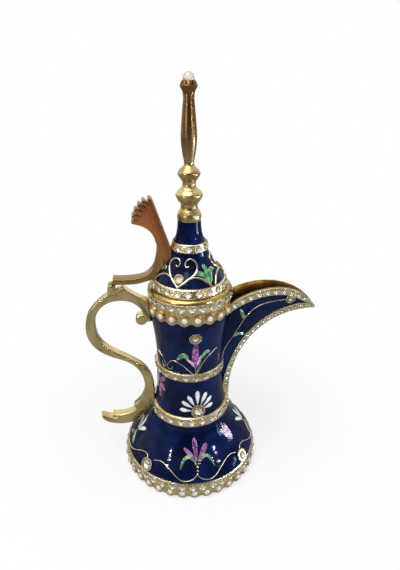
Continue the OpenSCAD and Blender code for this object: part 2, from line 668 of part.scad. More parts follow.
module lid_band() color(gold) difference() {
    revolve([[dome_foot_r, lid_z], [lid_r, lid_z], [lid_r + 0.2, lid_z + 0.4],
        [lid_face_r + 0.6, lid_z + 0.6], [lid_r - (lid_band_h - 0.5) * tan(lid_band_rise) + 0.3,
        dome_z - 0.5], [dome_foot_r + 0.15, dome_z], [dome_foot_r, dome_z]]);
    around(lid_n, lid_face_r, lid_band_mid, lid_band_rise, lever_gap) seat(crystal_d);
}
module lid_band_crystals() color(crystal_white)
    around(lid_n, lid_face_r, lid_band_mid, lid_band_rise, lever_gap) crystal(crystal_d);

module crown_band() color(gold) difference() {
    revolve(concat([[cone_r, crown_z], [crown_r, crown_z], [crown_face_r + 0.1, crown_z + 0.3],
        [crown_face_r - crown_in, crown_z + crown_band_h - 0.2],
        [crown_face_r - crown_in - 0.2, crown_z + crown_band_h]],
        reversed([for (q = cone_line) if (q[1] < crown_z + crown_band_h && q[1] > crown_z) q])));
    around(crown_n, crown_mid_r, crown_mid, crown_rise, [[180, 20]]) seat(crystal_d - 0.2);
}
module crown_crystals() color(crystal_white)
    around(crown_n, crown_mid_r, crown_mid, crown_rise, [[180, 20]]) crystal(crystal_d - 0.2);

lid_stone_d = 2.6;
lid_stone_z = dome_z + 3;
lid_stones = [for (i = [0:2]) 245 + i * 120];
module lid_bezels() color(gold) difference() {
    for (a = lid_stones) on_skin(dome_line, a, lid_stone_z) bezel_cup(lid_stone_d);
    dome_solid();
}
module lid_bezel_stones() color(crystal_white)
    for (a = lid_stones) on_skin(dome_line, a, lid_stone_z) bezel_stone(lid_stone_d);
module dome_solid() revolve(concat([[0, lid_z], [dome_foot_r, lid_z]], dome_line, [[0, crown_z]]));

// ---- Finial, turned pieces on one stud ----
cone_line = concat([[cone_r, crown_z]], curve([cone_r, crown_z + crown_band_h - 0.2],
    [cone_r - 1.3, crown_z + cone_h * 0.42], [cone_top_r + 0.3, crown_z + cone_h * 0.6],
    [cone_top_r, bell_z], 12));
bell_line = concat(
    curve([cone_top_r - 0.1, bell_z], [bell_r + 0.3, bell_z + 1.2],
        [bell_r + 0.1, bell_z + 3], [bell_r - 0.8, bell_z + bell_h * 0.66], 6),
    curve([bell_r - 1, bell_z + bell_h * 0.72], [bell_r - 1.5, bell_z + bell_h * 0.8],
        [bell_r - 1.6, bell_z + bell_h * 0.9], [bell_r - 1.4, stem_z], 3));
bead_z = stem_z + 3.7;
bead2_z = stem_z + 11.3;
foot_of_baluster = stem_z + 15.6;
bead_neck_r = 2.65;
stem_r = 2.1;
baluster_line = concat(
    spline([[bell_r - 1.4, stem_z], [bead_r - 1, bead_z - 2.1], [bead_r, bead_z],
        [bead_r - 1, bead_z + 2.1], [bead_neck_r + 0.2, bead_z + 3.6],
        [bead_neck_r, (bead_z + bead2_z) / 2 + 0.4], [bead_neck_r + 0.3, bead2_z - 2.5],
        [bead2_r - 0.7, bead2_z - 1.4], [bead2_r, bead2_z], [bead2_r - 0.8, bead2_z + 1.5],
        [stem_r + 0.4, bead2_z + 3], [stem_r, foot_of_baluster]], 2),
    curve([stem_r + 0.1, foot_of_baluster + 0.3],
        [baluster_r + 0.7, foot_of_baluster + baluster_h * 0.42],
        [baluster_r - 0.1, foot_of_baluster + baluster_h * 0.75], [stem_r, claw_z], 10));

module finial_cone() color(cobalt) difference() {
    revolve(concat([[0, crown_z]], cone_line, [[0, bell_z]]));
    translate([0, 0, crown_z - 1]) cylinder(h = cone_h + 2, r = stud_r, $fn = 32);
}
module finial_bell() color(gold) difference() {
    revolve(concat([[0, bell_z]], bell_line, [[0, stem_z]]));
    translate([0, 0, bell_z - 1]) cylinder(h = bell_h + 2, r = stud_r, $fn = 32);
}
module finial_baluster() color(gold) difference() {
    revolve(concat([[0, stem_z]], baluster_line, [[0, claw_z]]));
    translate([0, 0, stem_z - 1]) cylinder(h = stud_grip + 1, r = stud_r, $fn = 32);
}
stud_grip = 5;
nut_t = 2.2;
module finial_stud() color(gold)
    translate([0, 0, crown_z - crown_t - nut_t - 0.8])
        cylinder(h = stem_z + stud_grip - crown_z + crown_t + nut_t + 0.8, r = stud_r, $fn = 32);
module finial_nut() color(gold) difference() {
    translate([0, 0, crown_z - crown_t - nut_t]) cylinder(h = nut_t, r = nut_r, $fn = 6);
    translate([0, 0, crown_z - crown_t - 2 * nut_t]) cylinder(h = 3 * nut_t, r = stud_r, $fn = 32);
}
top_pearl_z = top_z + top_pearl_d * 0.16;
claw_r = 3.15;
module finial_claws() color(gold) difference() {
    revolve(concat([[0, claw_z]],
        curve([stem_r, claw_z], [stem_r - 0.3, claw_z + claw_h * 0.35],
            [claw_r - 0.4, claw_z + claw_h * 0.45], [claw_r, claw_z + claw_h * 0.68], 6),
        [[claw_r - 0.25, claw_z + claw_h * 0.8], [claw_r - 0.8, top_z], [0, top_z]]));
    translate([0, 0, top_pearl_z]) sphere(d = top_pearl_d + 2 * seat_gap, $fn = 32);
    // the rim of the cup is filed into four claws
    for (a = [0, 45, 90, 135]) rotate([0, 0, a + 22.5]) translate([-4, -0.35, top_z - 1.2])
        cube([8, 0.7, 2]);
}
module finial_pearl() color(pearl_white)
    translate([0, 0, top_pearl_z]) sphere(d = top_pearl_d, $fn = 32);

// ---- Thumb lever: bracket, arm and comb in one casting on the lid ----
// Outlines as [x, height above the closed lid]
lever_top = [[-hinge_x + 0.9, 4], [-27.1, 3.7], [-21.9, 3.9], [-17.9, 4.9], [-15.2, 7.2],
    [-13.7, 10.6], [-12.9, 15.6], [-13.2, 18.6], [-14.5, 21.9], [-16.5, 24.2], [-18.9, 25.8],
    [-20.6, 26.3]];
lever_back = [[-13.9, 34.5], [-12.9, 32], [-11.6, 28.4], [-10.2, 24], [-8.6, 19.1], [-7.2, 15]];
lever_under = [[-8, 12.2], [-9.4, 9.2], [-11.2, 6.5], [-13.6, 4.2], [-14.4, 3.4], [-16.4, 2.9],
    [-20.1, 1.9], [-24.1, 1.5], [-hinge_x + 0.9, 1.7]];
comb_at = [-8.5, 16.9];
comb_from = 142.4;
comb_to = 109.7;
module lever_2d() {
    polygon([for (q = concat(spline(lever_top, 3), spline(lever_back, 3), spline(lever_under, 3)))
        q + [0, lid_z]]);
    for (i = [0:comb_n - 1]) {
        a = comb_from + (comb_to - comb_from) * i / (comb_n - 1);
        r = 17.1 + 3.5 * i / (comb_n - 1);
        translate(comb_at + [0, lid_z]) rotate(a) {
            translate([r - 2 * notch_depth - 1, -finger_w / 2])
                square([2 * notch_depth + 1 - finger_w / 2, finger_w]);
            translate([r - finger_w / 2, 0]) circle(d = finger_w, $fn = 24);
        }
    }
}
module thumb_lever() color(gold) difference() {
    union() {
        difference() {
            translate([0, lever_w / 2, 0]) rotate([90, 0, 0]) linear_extrude(lever_w) lever_2d();
            dome_solid();
            revolve([[0, lid_z - 5], [lid_r + 1, lid_z - 5], [lid_r + 1, lid_z + 1.2],
                [lid_r + 0.5, lid_z + 1.2], [dome_foot_r + 0.5, dome_z], [0, dome_z]]);
            revolve([[0, crown_z], [crown_face_r + 0.1, crown_z], [crown_face_r + 0.1, crown_z + 0.3],
                [crown_face_r - crown_in, crown_z + crown_band_h], [0, crown_z + crown_band_h]]);
        }
        // knuckle and its neck
        across(knuckle_r, -knuckle_w / 2, knuckle_w / 2);
        translate([0, knuckle_w / 2, 0]) rotate([90, 0, 0]) linear_extrude(knuckle_w)
            polygon([[-hinge_x - knuckle_r * 0.9, hinge_z + 0.6],
                [-hinge_x + knuckle_r * 0.9, hinge_z + 0.6],
                [-hinge_x + 3, lid_z + 1.8], [-hinge_x + 1.4, lid_z + 2.6]]);
    }
    across(pin_r + pin_gap, -knuckle_w, knuckle_w);
}

belly_shell();
base_plate();
foot_ring();
foot_pearls();
foot_crystals();
shoulder_band();
shoulder_crystals();
neck_shell();
waist_band();
waist_crystals();
pearl_collar();
collar_pearls();
rim_band();
rim_crystals();
rim_flange();
spout_shell();
lip_strips();
lip_crystals();
keel_strip();
keel_crystals();
handle();
hinge_yoke();
hinge_pin();
pot_bezels();
pot_bezel_stones();
lid_shell();
lid_spigot();
lid_band();
lid_band_crystals();
crown_band();
crown_crystals();
lid_bezels();
lid_bezel_stones();
finial_cone();
finial_bell();
finial_baluster();
finial_claws();
finial_pearl();
finial_stud();
finial_nut();
thumb_lever();
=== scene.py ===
import bmesh
import bpy
import math
import numpy as np
from mathutils import Matrix, Vector
from mathutils.bvhtree import BVHTree


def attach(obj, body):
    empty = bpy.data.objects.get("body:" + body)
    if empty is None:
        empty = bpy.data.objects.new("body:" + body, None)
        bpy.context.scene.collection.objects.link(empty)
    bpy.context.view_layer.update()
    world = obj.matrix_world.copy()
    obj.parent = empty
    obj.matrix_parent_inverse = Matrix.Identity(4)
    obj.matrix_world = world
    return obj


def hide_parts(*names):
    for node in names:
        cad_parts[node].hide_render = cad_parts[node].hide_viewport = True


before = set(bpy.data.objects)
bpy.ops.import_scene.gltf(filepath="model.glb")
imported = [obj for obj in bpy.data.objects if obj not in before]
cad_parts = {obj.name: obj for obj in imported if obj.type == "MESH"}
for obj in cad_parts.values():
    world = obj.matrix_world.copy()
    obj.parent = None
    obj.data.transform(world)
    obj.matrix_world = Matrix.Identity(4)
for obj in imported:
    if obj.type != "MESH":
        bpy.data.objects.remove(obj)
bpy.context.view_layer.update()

# ---- Foot ring -------------------------------------------------------------------------
# Cast brass, gold-plated: the ring that carries the pot, with a belt for cut stones and a
# scalloped row for pearls.  The ground between the stones is stippled with a punch.
MM = 0.001


def linear(code):
    """Linear light values of an sRGB hex colour."""
    parts = [int(code[i:i + 2], 16) / 255 for i in (1, 3, 5)]
    return tuple(c / 12.92 if c <= 0.04045 else ((c + 0.055) / 1.055) ** 2.4 for c in parts) + (1.0,)


def add(tree, kind, values={}, links={}, **settings):
    """Adds a node: settings are its properties, values its constant inputs, links its linked ones."""
    node = tree.nodes.new(kind)
    for key, value in settings.items():
        setattr(node, key, value)
    for key, value in values.items():
        node.inputs[key].default_value = value
    for key, source in links.items():
        tree.links.new(source, node.inputs[key])
    return node


def finish(name):
    """A new material with an empty node tree and its Object coordinates."""
    material = bpy.data.materials.new(name)
    material.use_nodes = True
    tree = material.node_tree
    tree.nodes.clear()
    return material, tree, add(tree, "ShaderNodeTexCoord").outputs["Object"]


def gold_plate(name, bright, shade, smooth, rough, grain_mm, grain_depth_mm, patch_mm=5.0):
    """Gold plate on cast brass: an uneven tone a few millimetres across, where fingers and air
    have dulled it, fine wear in the gloss from smooth to rough, and the grain that the mould or
    punch has left."""
    material, tree, place = finish(name)
    patch = add(tree, "ShaderNodeTexNoise", {"Scale": 1 / (patch_mm * MM), "Detail": 3.0},
                {"Vector": place})
    tone = add(tree, "ShaderNodeValToRGB", links={"Fac": patch.outputs["Fac"]})
    for stop, (position, colour) in zip(tone.color_ramp.elements, ((0.36, shade), (0.62, bright))):
        stop.position, stop.color = position, linear(colour)
    wear = add(tree, "ShaderNodeTexNoise", {"Scale": 1 / (1.3 * MM), "Detail": 2.0}, {"Vector": place})
    gloss = add(tree, "ShaderNodeMapRange", {"From Min": 0.35, "From Max": 0.7, "To Min": smooth,
                "To Max": rough}, {"Value": wear.outputs["Fac"]})
    grain = add(tree, "ShaderNodeTexVoronoi", {"Scale": 1 / (grain_mm * MM)}, {"Vector": place})
    relief = add(tree, "ShaderNodeBump", {"Strength": 1.0, "Distance": grain_depth_mm * MM},
                 {"Height": grain.outputs["Distance"]})
    plate = add(tree, "ShaderNodeBsdfPrincipled", {"Metallic": 1.0},
                {"Base Color": tone.outputs["Color"], "Roughness": gloss.outputs["Result"],
                 "Normal": relief.outputs["Normal"]})
    add(tree, "ShaderNodeOutputMaterial", links={"Surface": plate.outputs["BSDF"]})
    return material


def coat(material, *nodes):
    """Gives CAD nodes their finish."""
    for node in nodes:
        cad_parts[node].data.materials.clear()
        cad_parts[node].data.materials.append(material)


# Stippled gold: 0.45 mm pits between the stones scatter the light, so it looks pale and grainy
stippled_gold = gold_plate("stippled gold plate", "#f6e6ba", "#d4ba80", 0.2, 0.38, 0.42, 0.07)
# Satin gold: the plain lower side of the foot, softened by handling
satin_gold = gold_plate("satin gold plate", "#c3ad80", "#98804f", 0.22, 0.36, 0.6, 0.006)
coat(stippled_gold, "foot_ring")
coat(satin_gold, "base_plate")


def own_piece(name, bm, materials, body, smooth=True):
    """Turns a bmesh into a piece that rides on a body."""
    bmesh.ops.recalc_face_normals(bm, faces=bm.faces[:])
    mesh = bpy.data.meshes.new(name)
    bm.to_mesh(mesh)
    bm.free()
    for material in materials:
        mesh.materials.append(material)
    mesh.polygons.foreach_set("use_smooth", [smooth] * len(mesh.polygons))
    piece = bpy.data.objects.new(name, mesh)
    bpy.context.scene.collection.objects.link(piece)
    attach(piece, body)
    return piece


# Points of a CAD mesh nearer than this are one
WELD = 0.002 * MM


def settings_of(node):
    """Middle, outward axis and radius of every stone or pearl of a CAD node."""
    bm = bmesh.new()
    bm.from_mesh(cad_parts[node].data)
    bmesh.ops.remove_doubles(bm, verts=bm.verts[:], dist=WELD)
    found, seen = [], set()
    for start in bm.verts:
        if start in seen:
            continue
        # All the points of one stone, from link to link
        island, waiting = [], [start]
        seen.add(start)
        while waiting:
            vert = waiting.pop()
            island.append(vert)
            for link in vert.link_edges:
                other = link.other_vert(vert)
                if other not in seen:
                    seen.add(other)
                    waiting.append(other)
        points = np.array([v.co for v in island])
        middle = points.mean(0)
        axis = np.linalg.svd(points - middle)[2][2]
        along = (points - middle) @ axis
        spread = np.linalg.norm(points - middle - along[:, None] * axis, axis=1)
        # The narrower end, the table, looks outwards
        if spread[along > 0].mean() > spread[along < 0].mean():
            axis = -axis
        found.append((Vector(middle), Vector(axis), spread.max()))
    bm.free()
    return found


# ---- Pearls of the foot ----------------------------------------------------------------
# Half-drilled glass pearls, 3 mm, glued in scalloped cups: a round wire rim about each one.
# Nacre lacquer over glass: a deep soft gloss over cloudy cream, darkened to brown at the edge by painted
# shade.
def nacre():
    material, tree, place = finish("nacre lacquer on glass pearl")
    cloud = add(tree, "ShaderNodeTexNoise", {"Scale": 1 / (1.6 * MM), "Detail": 2.0}, {"Vector": place})
    body = add(tree, "ShaderNodeMix", {"A": linear("#cfc0b1"), "B": linear("#ece2d8")},
               {"Factor": cloud.outputs["Fac"]}, data_type="RGBA")
    # Painted shade: towards the edge the colour turns brown
    edge = add(tree, "ShaderNodeLayerWeight", {"Blend": 0.35})
    painted_rim_shade = add(tree, "ShaderNodeMix", {"B": linear("#7d6a5e")},
                {"Factor": edge.outputs["Facing"], "A": body.outputs["Result"]}, data_type="RGBA")
    ripple = add(tree, "ShaderNodeBump", {"Strength": 0.25, "Distance": 0.01 * MM},
                 {"Height": cloud.outputs["Fac"]})
    pearl = add(tree, "ShaderNodeBsdfPrincipled",
                {"Roughness": 0.22, "IOR": 1.6, "Coat Weight": 1.0, "Coat Roughness": 0.04},
                {"Base Color": painted_rim_shade.outputs["Result"], "Normal": ripple.outputs["Normal"]})
    add(tree, "ShaderNodeOutputMaterial", links={"Surface": pearl.outputs["BSDF"]})
    return material


pearl_lacquer = nacre()
PEARL_R = 1.5


def pearls_of(node):
    """Centre of every pearl of a CAD node, from the sphere that fits its points."""
    centres = []
    for middle, _, _ in settings_of(node):
        near = [v.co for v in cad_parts[node].data.vertices
                if (v.co - middle).length < 2 * PEARL_R * MM]
        rows = np.array([[2 * p.x, 2 * p.y, 2 * p.z, 1] for p in near])
        fit = np.linalg.lstsq(rows, np.array([p.length_squared for p in near]), rcond=None)[0]
        centres.append(Vector(fit[:3]))
    return centres


def set_pearls(node, name):
    """Smooth pearls in the places of a CAD node's, a hair smaller than its own."""
    bm = bmesh.new()
    for centre in pearls_of(node):
        made = bmesh.ops.create_uvsphere(bm, u_segments=20, v_segments=12, radius=(PEARL_R - 0.005) * MM)
        bmesh.ops.translate(bm, verts=made["verts"], vec=centre)
    piece = own_piece(name, bm, [pearl_lacquer], "pot")
    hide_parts(node)


set_pearls("foot_pearls", "foot_pearls_nacre")

# Drawn wire: pale and bright, almost smooth
wire_gold = gold_plate("gold-plated drawn wire", "#ece3cb", "#c6b792", 0.14, 0.26, 0.8, 0.003, 3.0)


def wire_set(name, body, thickness, material=wire_gold):
    """A curve object for round wires of one thickness in mm."""
    curve = bpy.data.curves.new(name, "CURVE")
    curve.dimensions = "3D"
    curve.bevel_depth = 1.0
    curve.bevel_resolution = 1
    curve.use_fill_caps = True
    curve.materials.append(material)
    piece = bpy.data.objects.new(name, curve)
    bpy.context.scene.collection.objects.link(piece)
    piece["half_mm"] = thickness / 2
    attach(piece, body)
    return piece


def bend(piece, points, closed=False, taper=0.0):
    """Adds one wire through the points; taper is the share of its thickness lost at its last end."""
    spline = piece.data.splines.new("POLY")
    spline.points.add(len(points) - 1)
    last = len(points) - 1
    for i, point in enumerate(points):
        spline.points[i].co = (*point, 1.0)
        spline.points[i].radius = piece["half_mm"] * MM * (1.0 - taper * (i / last) ** 2)
    spline.use_cyclic_u = closed
    spline.use_smooth = True


def hoop(centre, axis, radius, count=18):
    """Points of a circle about an axis, its radius in mm."""
    side = axis.orthogonal().normalized()
    other = axis.cross(side)
    turns = [2 * math.pi * i / count for i in range(count)]
    return [centre + (side * math.cos(a) + other * math.sin(a)) * radius * MM for a in turns]


def outward(point):
    """Level direction from the pot's axis to a point."""
    return Vector((point.x, point.y, 0)).normalized()


# Thickness of the wire rims and radius of those at the foot, in mm
CUP_WIRE, CUP_R = 0.36, 1.72
foot_cups = wire_set("foot_pearl_cups", "pot", CUP_WIRE)
for centre in pearls_of("foot_pearls"):
    out = outward(centre)
    bend(foot_cups, hoop(centre + out * 0.1 * MM, out, CUP_R), closed=True)

# ---- Cut stones ------------------------------------------------------------------------
# Foiled glass stones, eight-sided: a clear crown and table over a pointed back that is
# silvered, held in drilled seats by four small gold beads raised from the ground.
# Lead glass, polished and a little scuffed: it bends the light and throws it back from the foil
clear_glass, tree, place = finish("clear cut glass")
haze = add(tree, "ShaderNodeTexNoise", {"Scale": 1 / (0.9 * MM)}, {"Vector": place})
scuff = add(tree, "ShaderNodeMapRange", {"To Min": 0.0, "To Max": 0.06}, {"Value": haze.outputs["Fac"]})
glass = add(tree, "ShaderNodeBsdfPrincipled",
            {"Base Color": linear("#f7f5f1"), "IOR": 1.56, "Transmission Weight": 1.0},
            {"Roughness": scuff.outputs["Result"]})
add(tree, "ShaderNodeOutputMaterial", links={"Surface": glass.outputs["BSDF"]})

# Silver foil: a bright mirror, a touch uneven, that makes the stone sparkle
silver_foil, tree, place = finish("silvered foil back")
cloud = add(tree, "ShaderNodeTexNoise", {"Scale": 1 / (0.7 * MM)}, {"Vector": place})
tone = add(tree, "ShaderNodeMix", {"A": linear("#dedad2"), "B": linear("#faf8f3")},
           {"Factor": cloud.outputs["Fac"]}, data_type="RGBA")
foil = add(tree, "ShaderNodeBsdfPrincipled", {"Metallic": 1.0, "Roughness": 0.17},
           {"Base Color": tone.outputs["Result"]})
add(tree, "ShaderNodeOutputMaterial", links={"Surface": foil.outputs["BSDF"]})


# Shares of a stone's radius: the rise of the crown, the depth of the back, the flat table
CROWN_RISE, TABLE_R = 0.3, 0.58


def cut_stone(bm, centre, axis, radius):
    """An eight-sided stone: table, crown, girdle and a foiled pointed back."""
    deep = CROWN_RISE * radius
    turn = axis.to_track_quat("Z", "Y").to_matrix().to_4x4()
    turn.translation = centre
    crown = bmesh.ops.create_cone(bm, cap_ends=True, cap_tris=False, segments=8, radius1=radius,
                                  radius2=radius * TABLE_R, depth=deep)["verts"]
    bmesh.ops.translate(bm, verts=crown, vec=(0, 0, deep / 2))
    back = [f for f in {f for v in crown for f in v.link_faces}
            if all(abs(v.co.z) < deep / 9 for v in f.verts)]
    point = bmesh.ops.poke(bm, faces=back)
    bmesh.ops.translate(bm, verts=point["verts"], vec=(0, 0, -deep))
    for face in point["faces"]:
        face.material_index = 1
    bmesh.ops.transform(bm, matrix=turn, verts=crown + point["verts"])


# The middle of a prong lies this far outside the stone's edge
PRONG_GAP = 0.1 * MM


def prongs(bm, centre, axis, radius, count, size):
    """Small gold beads pushed over the edge of a stone."""
    side = axis.orthogonal().normalized()
    other = axis.cross(side)
    for i in range(count):
        a = 2 * math.pi * (i + 0.5) / count
        spot = centre + (side * math.cos(a) + other * math.sin(a)) * (radius + PRONG_GAP)
        made = bmesh.ops.create_icosphere(bm, subdivisions=1, radius=size * MM)
        bmesh.ops.translate(bm, verts=made["verts"], vec=spot)


def set_stones(body, nodes, name, beads=4, size=0.32):
    """Cut stones in the places of CAD stones, and the beads, of a radius in mm, that hold them."""
    stones, grains = bmesh.new(), bmesh.new()
    for node in nodes:
        for middle, axis, radius in settings_of(node):
            cut_stone(stones, middle, axis, radius)
            prongs(grains, middle + axis * 0.1 * MM, axis, radius, beads, size)
    cut = own_piece(name + "_cut", stones, [clear_glass, silver_foil], body, smooth=False)
    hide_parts(*nodes)
    held = own_piece(name + "_prongs", grains, [rubbed_gold], body)


# Prongs and bead frames: rubbed almost silvery, they catch the light between the stones
rubbed_gold = gold_plate("rubbed pale gold plate", "#f4ead2", "#d6c69c", 0.1, 0.2, 1.1, 0.003)
set_stones("pot", ["foot_crystals"], "foot_crystals")

# ---- Jewelled bands --------------------------------------------------------------------
# Cast strips soldered round the shoulder, waist, rim and lid, and along the lips and keel of
# the beak: stippled like the foot's belt, with one row of cut stones in each.
coat(stippled_gold, "shoulder_band", "waist_band", "rim_band", "lid_band", "crown_band",
     "lip_strips", "keel_strip")
set_stones("pot", ["shoulder_crystals", "waist_crystals", "rim_crystals"], "band_crystals")
set_stones("pot", ["lip_crystals", "keel_crystals"], "spout_crystals")
set_stones("lid", ["lid_band_crystals", "crown_crystals"], "lid_crystals")

# ---- Enamelled skins -------------------------------------------------------------------
# Belly, neck, dome and cone: copper gilding metal under transparent cobalt enamel, fired in
# several coats.  It pools and thins, so the blue shifts, and the glassy face ripples a little.
def cobalt_glaze(name, inside):
    """Cobalt enamel: dark where it lies thick, bluer where it thins, with a rippled gloss; a
    shell's inside is left bare."""
    material, tree, place = finish(name)
    cloud = add(tree, "ShaderNodeTexNoise", {"Scale": 1 / (9 * MM), "Detail": 3.0, "Distortion": 0.4},
                {"Vector": place})
    spread = add(tree, "ShaderNodeMapRange", {"From Min": 0.4, "From Max": 0.72},
                 {"Value": cloud.outputs["Fac"]})
    blue = add(tree, "ShaderNodeMix", {"A": linear("#050d2c"), "B": linear("#0c1f4e")},
               {"Factor": spread.outputs["Result"]}, data_type="RGBA")
    speck = add(tree, "ShaderNodeTexNoise", {"Scale": 1 / (0.35 * MM), "Detail": 1.0}, {"Vector": place})
    dulled = add(tree, "ShaderNodeMapRange",
                 {"From Min": 0.4, "From Max": 0.75, "To Min": 0.04, "To Max": 0.1},
                 {"Value": cloud.outputs["Fac"]})
    swell = add(tree, "ShaderNodeTexNoise", {"Scale": 1 / (4.2 * MM), "Detail": 0.5}, {"Vector": place})
    ripple = add(tree, "ShaderNodeBump", {"Strength": 1.0, "Distance": 0.13 * MM},
                 {"Height": swell.outputs["Fac"]})
    grain = add(tree, "ShaderNodeBump", {"Strength": 0.25, "Distance": 0.004 * MM},
                {"Height": speck.outputs["Fac"], "Normal": ripple.outputs["Normal"]})
    glaze = add(tree, "ShaderNodeBsdfPrincipled", {"IOR": 1.5, "Specular IOR Level": 0.15},
                {"Base Color": blue.outputs["Result"], "Roughness": dulled.outputs["Result"],
                 "Normal": grain.outputs["Normal"]})
    if not inside:
        add(tree, "ShaderNodeOutputMaterial", links={"Surface": glaze.outputs["BSDF"]})
        return material
    # The inner wall is bare gilding metal: its faces look towards the pot's axis.  The way they
    # look is read in the piece's own axes, so that the lid keeps its enamel as it opens.
    level = add(tree, "ShaderNodeVectorMath", {1: (1, 1, 0)}, {0: place}, operation="MULTIPLY")
    facing = add(tree, "ShaderNodeNewGeometry")
    own_facing = add(tree, "ShaderNodeVectorTransform", links={"Vector": facing.outputs["True Normal"]},
                     vector_type="NORMAL", convert_from="WORLD", convert_to="OBJECT")
    away = add(tree, "ShaderNodeVectorMath",
               links={0: own_facing.outputs["Vector"], 1: level.outputs["Vector"]},
               operation="DOT_PRODUCT")
    outer = add(tree, "ShaderNodeMath", {1: -0.001}, {0: away.outputs["Value"]},
                operation="GREATER_THAN")
    tarnish = add(tree, "ShaderNodeMix", {"A": linear("#7d5a2c"), "B": linear("#a27c42")},
                  {"Factor": cloud.outputs["Fac"]}, data_type="RGBA")
    metal = add(tree, "ShaderNodeBsdfPrincipled", {"Metallic": 1.0, "Roughness": 0.34},
                {"Base Color": tarnish.outputs["Result"]})
    both = add(tree, "ShaderNodeMixShader", links={0: outer.outputs["Value"], 1: metal.outputs["BSDF"],
               2: glaze.outputs["BSDF"]})
    add(tree, "ShaderNodeOutputMaterial", links={"Surface": both.outputs["Shader"]})
    return material


walled_enamel = cobalt_glaze("cobalt enamel over gilding metal", inside=True)
cobalt_enamel = cobalt_glaze("cobalt enamel", inside=False)
coat(walled_enamel, "belly_shell", "neck_shell", "lid_shell")
coat(cobalt_enamel, "finial_cone")

# ---- Rim flange and pearl collar -------------------------------------------------------
# Turned and polished flange that the lid rests on; under it a collar of scalloped cups, each
# with a double wire rim about its pearl.
# The collar's plate is redder, less rubbed than the rest
warm_gold = gold_plate("red gold plate", "#ecd29c", "#cdab6c", 0.16, 0.3, 0.9, 0.006, 3.0)
# The flange's plate is darker than the rest of the gold: painted shade
flange_gold = gold_plate("darker gold plate with painted shade", "#c8ab70", "#957a44", 0.16, 0.3, 1.1, 0.004, 4.0)
coat(warm_gold, "pearl_collar")
coat(flange_gold, "rim_flange", "lid_spigot")
set_pearls("collar_pearls", "collar_pearls_nacre")
collar_cups = wire_set("collar_pearl_cups", "pot", CUP_WIRE, warm_gold)
for centre in pearls_of("collar_pearls"):
    out = outward(centre)
    # How far each rim stands out from the pearl's middle, and its radius, in mm
    for stand_out, rim_r in ((0.2, 2.05), (0.3, 1.68)):
        bend(collar_cups, hoop(centre + out * stand_out * MM, out, rim_r), closed=True)

# ---- Beak ------------------------------------------------------------------------------
# Pressed and soldered beak: cobalt enamel on both cheeks, bare gold inside the open channel,
# which is dark brown.
# Copies of CAD shapes: faces that turn less than this, in degrees, are one flat face
FLAT = 0.5


def merge_flats(bm):
    """Makes flat areas whole."""
    bmesh.ops.dissolve_limit(bm, angle_limit=math.radians(FLAT), verts=bm.verts[:], edges=bm.edges[:])


def merged_copy(node):
    """A bmesh of a CAD node with its loose triangles joined and flat faces made whole."""
    bm = bmesh.new()
    bm.from_mesh(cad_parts[node].data)
    bmesh.ops.remove_doubles(bm, verts=bm.verts[:], dist=WELD)
    merge_flats(bm)
    return bm


def keep_edges(piece, degrees):
    """Smooth shading, with the edges sharper than an angle kept."""
    piece.data.set_sharp_from_angle(angle=math.radians(degrees))


beak = merged_copy("spout_shell")
for face in beak.faces:
    middle, normal = face.calc_center_median(), face.normal
    side = math.copysign(1, middle.y)
    # The channel's walls look at the middle plane, and its floor looks up
    inner = normal.y * side < -0.02 or (abs(normal.y) < 0.3 and normal.z > 0.25)
    face.material_index = 1 if inner else 0
# Gold, dark brown and rough
channel_gold = gold_plate("darkened gold of the channel", "#8a6230", "#4f3415", 0.28, 0.45, 1.4,
                          0.01, 7.0)
beak_skin = own_piece("spout_enamelled", beak, [cobalt_enamel, channel_gold], "pot")
keep_edges(beak_skin, 40)
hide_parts("spout_shell")

# ---- Handle and hinge ------------------------------------------------------------------
# Flat casting with its edges filed round, polished on the wheel: fine scratches, soft tone.
cast_gold = gold_plate("polished cast gold", "#e0cd96", "#c0ab70", 0.19, 0.3, 2.2, 0.0015, 9.0)


def filed(node, name, body, width, material, degrees=40, segments=3, shape=None):
    """A CAD casting with its sharp edges filed round, width in mm, after a change of shape where
    one is given."""
    bm = merged_copy(node)
    if shape:
        shape(bm)
    sharp = [e for e in bm.edges
             if len(e.link_faces) == 2 and e.calc_face_angle() > math.radians(degrees)]
    bmesh.ops.bevel(bm, geom=sharp, offset=width * MM, offset_type="OFFSET", affect="EDGES",
                    segments=segments, profile=0.5, material=-1, clamp_overlap=False)
    piece = own_piece(name, bm, [material], body)
    # The two cheeks are ground flat and shade so
    for face in piece.data.polygons:
        face.use_smooth = abs(face.normal.y) < 0.999
    keep_edges(piece, 50)
    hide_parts(node)


filed("handle", "handle_cast", "pot", 0.55, cast_gold)
coat(cast_gold, "hinge_yoke", "hinge_pin")

# ---- Thumb lever -----------------------------------------------------------------------
# Cast comb: the flat cheeks carry a painted coppery reflection above that fades to a plain brown at
# the foot, the edges stay gold.  Its end is a fan of short round teeth, cut with a saw.
lever_gold, tree, place = finish("cast gold with painted coppery reflection")
parts = add(tree, "ShaderNodeSeparateXYZ", links={"Vector": place})
height = add(tree, "ShaderNodeMapRange", {"From Min": 97 * MM, "From Max": 113 * MM},
             {"Value": parts.outputs["Z"]})
facing = add(tree, "ShaderNodeNewGeometry")
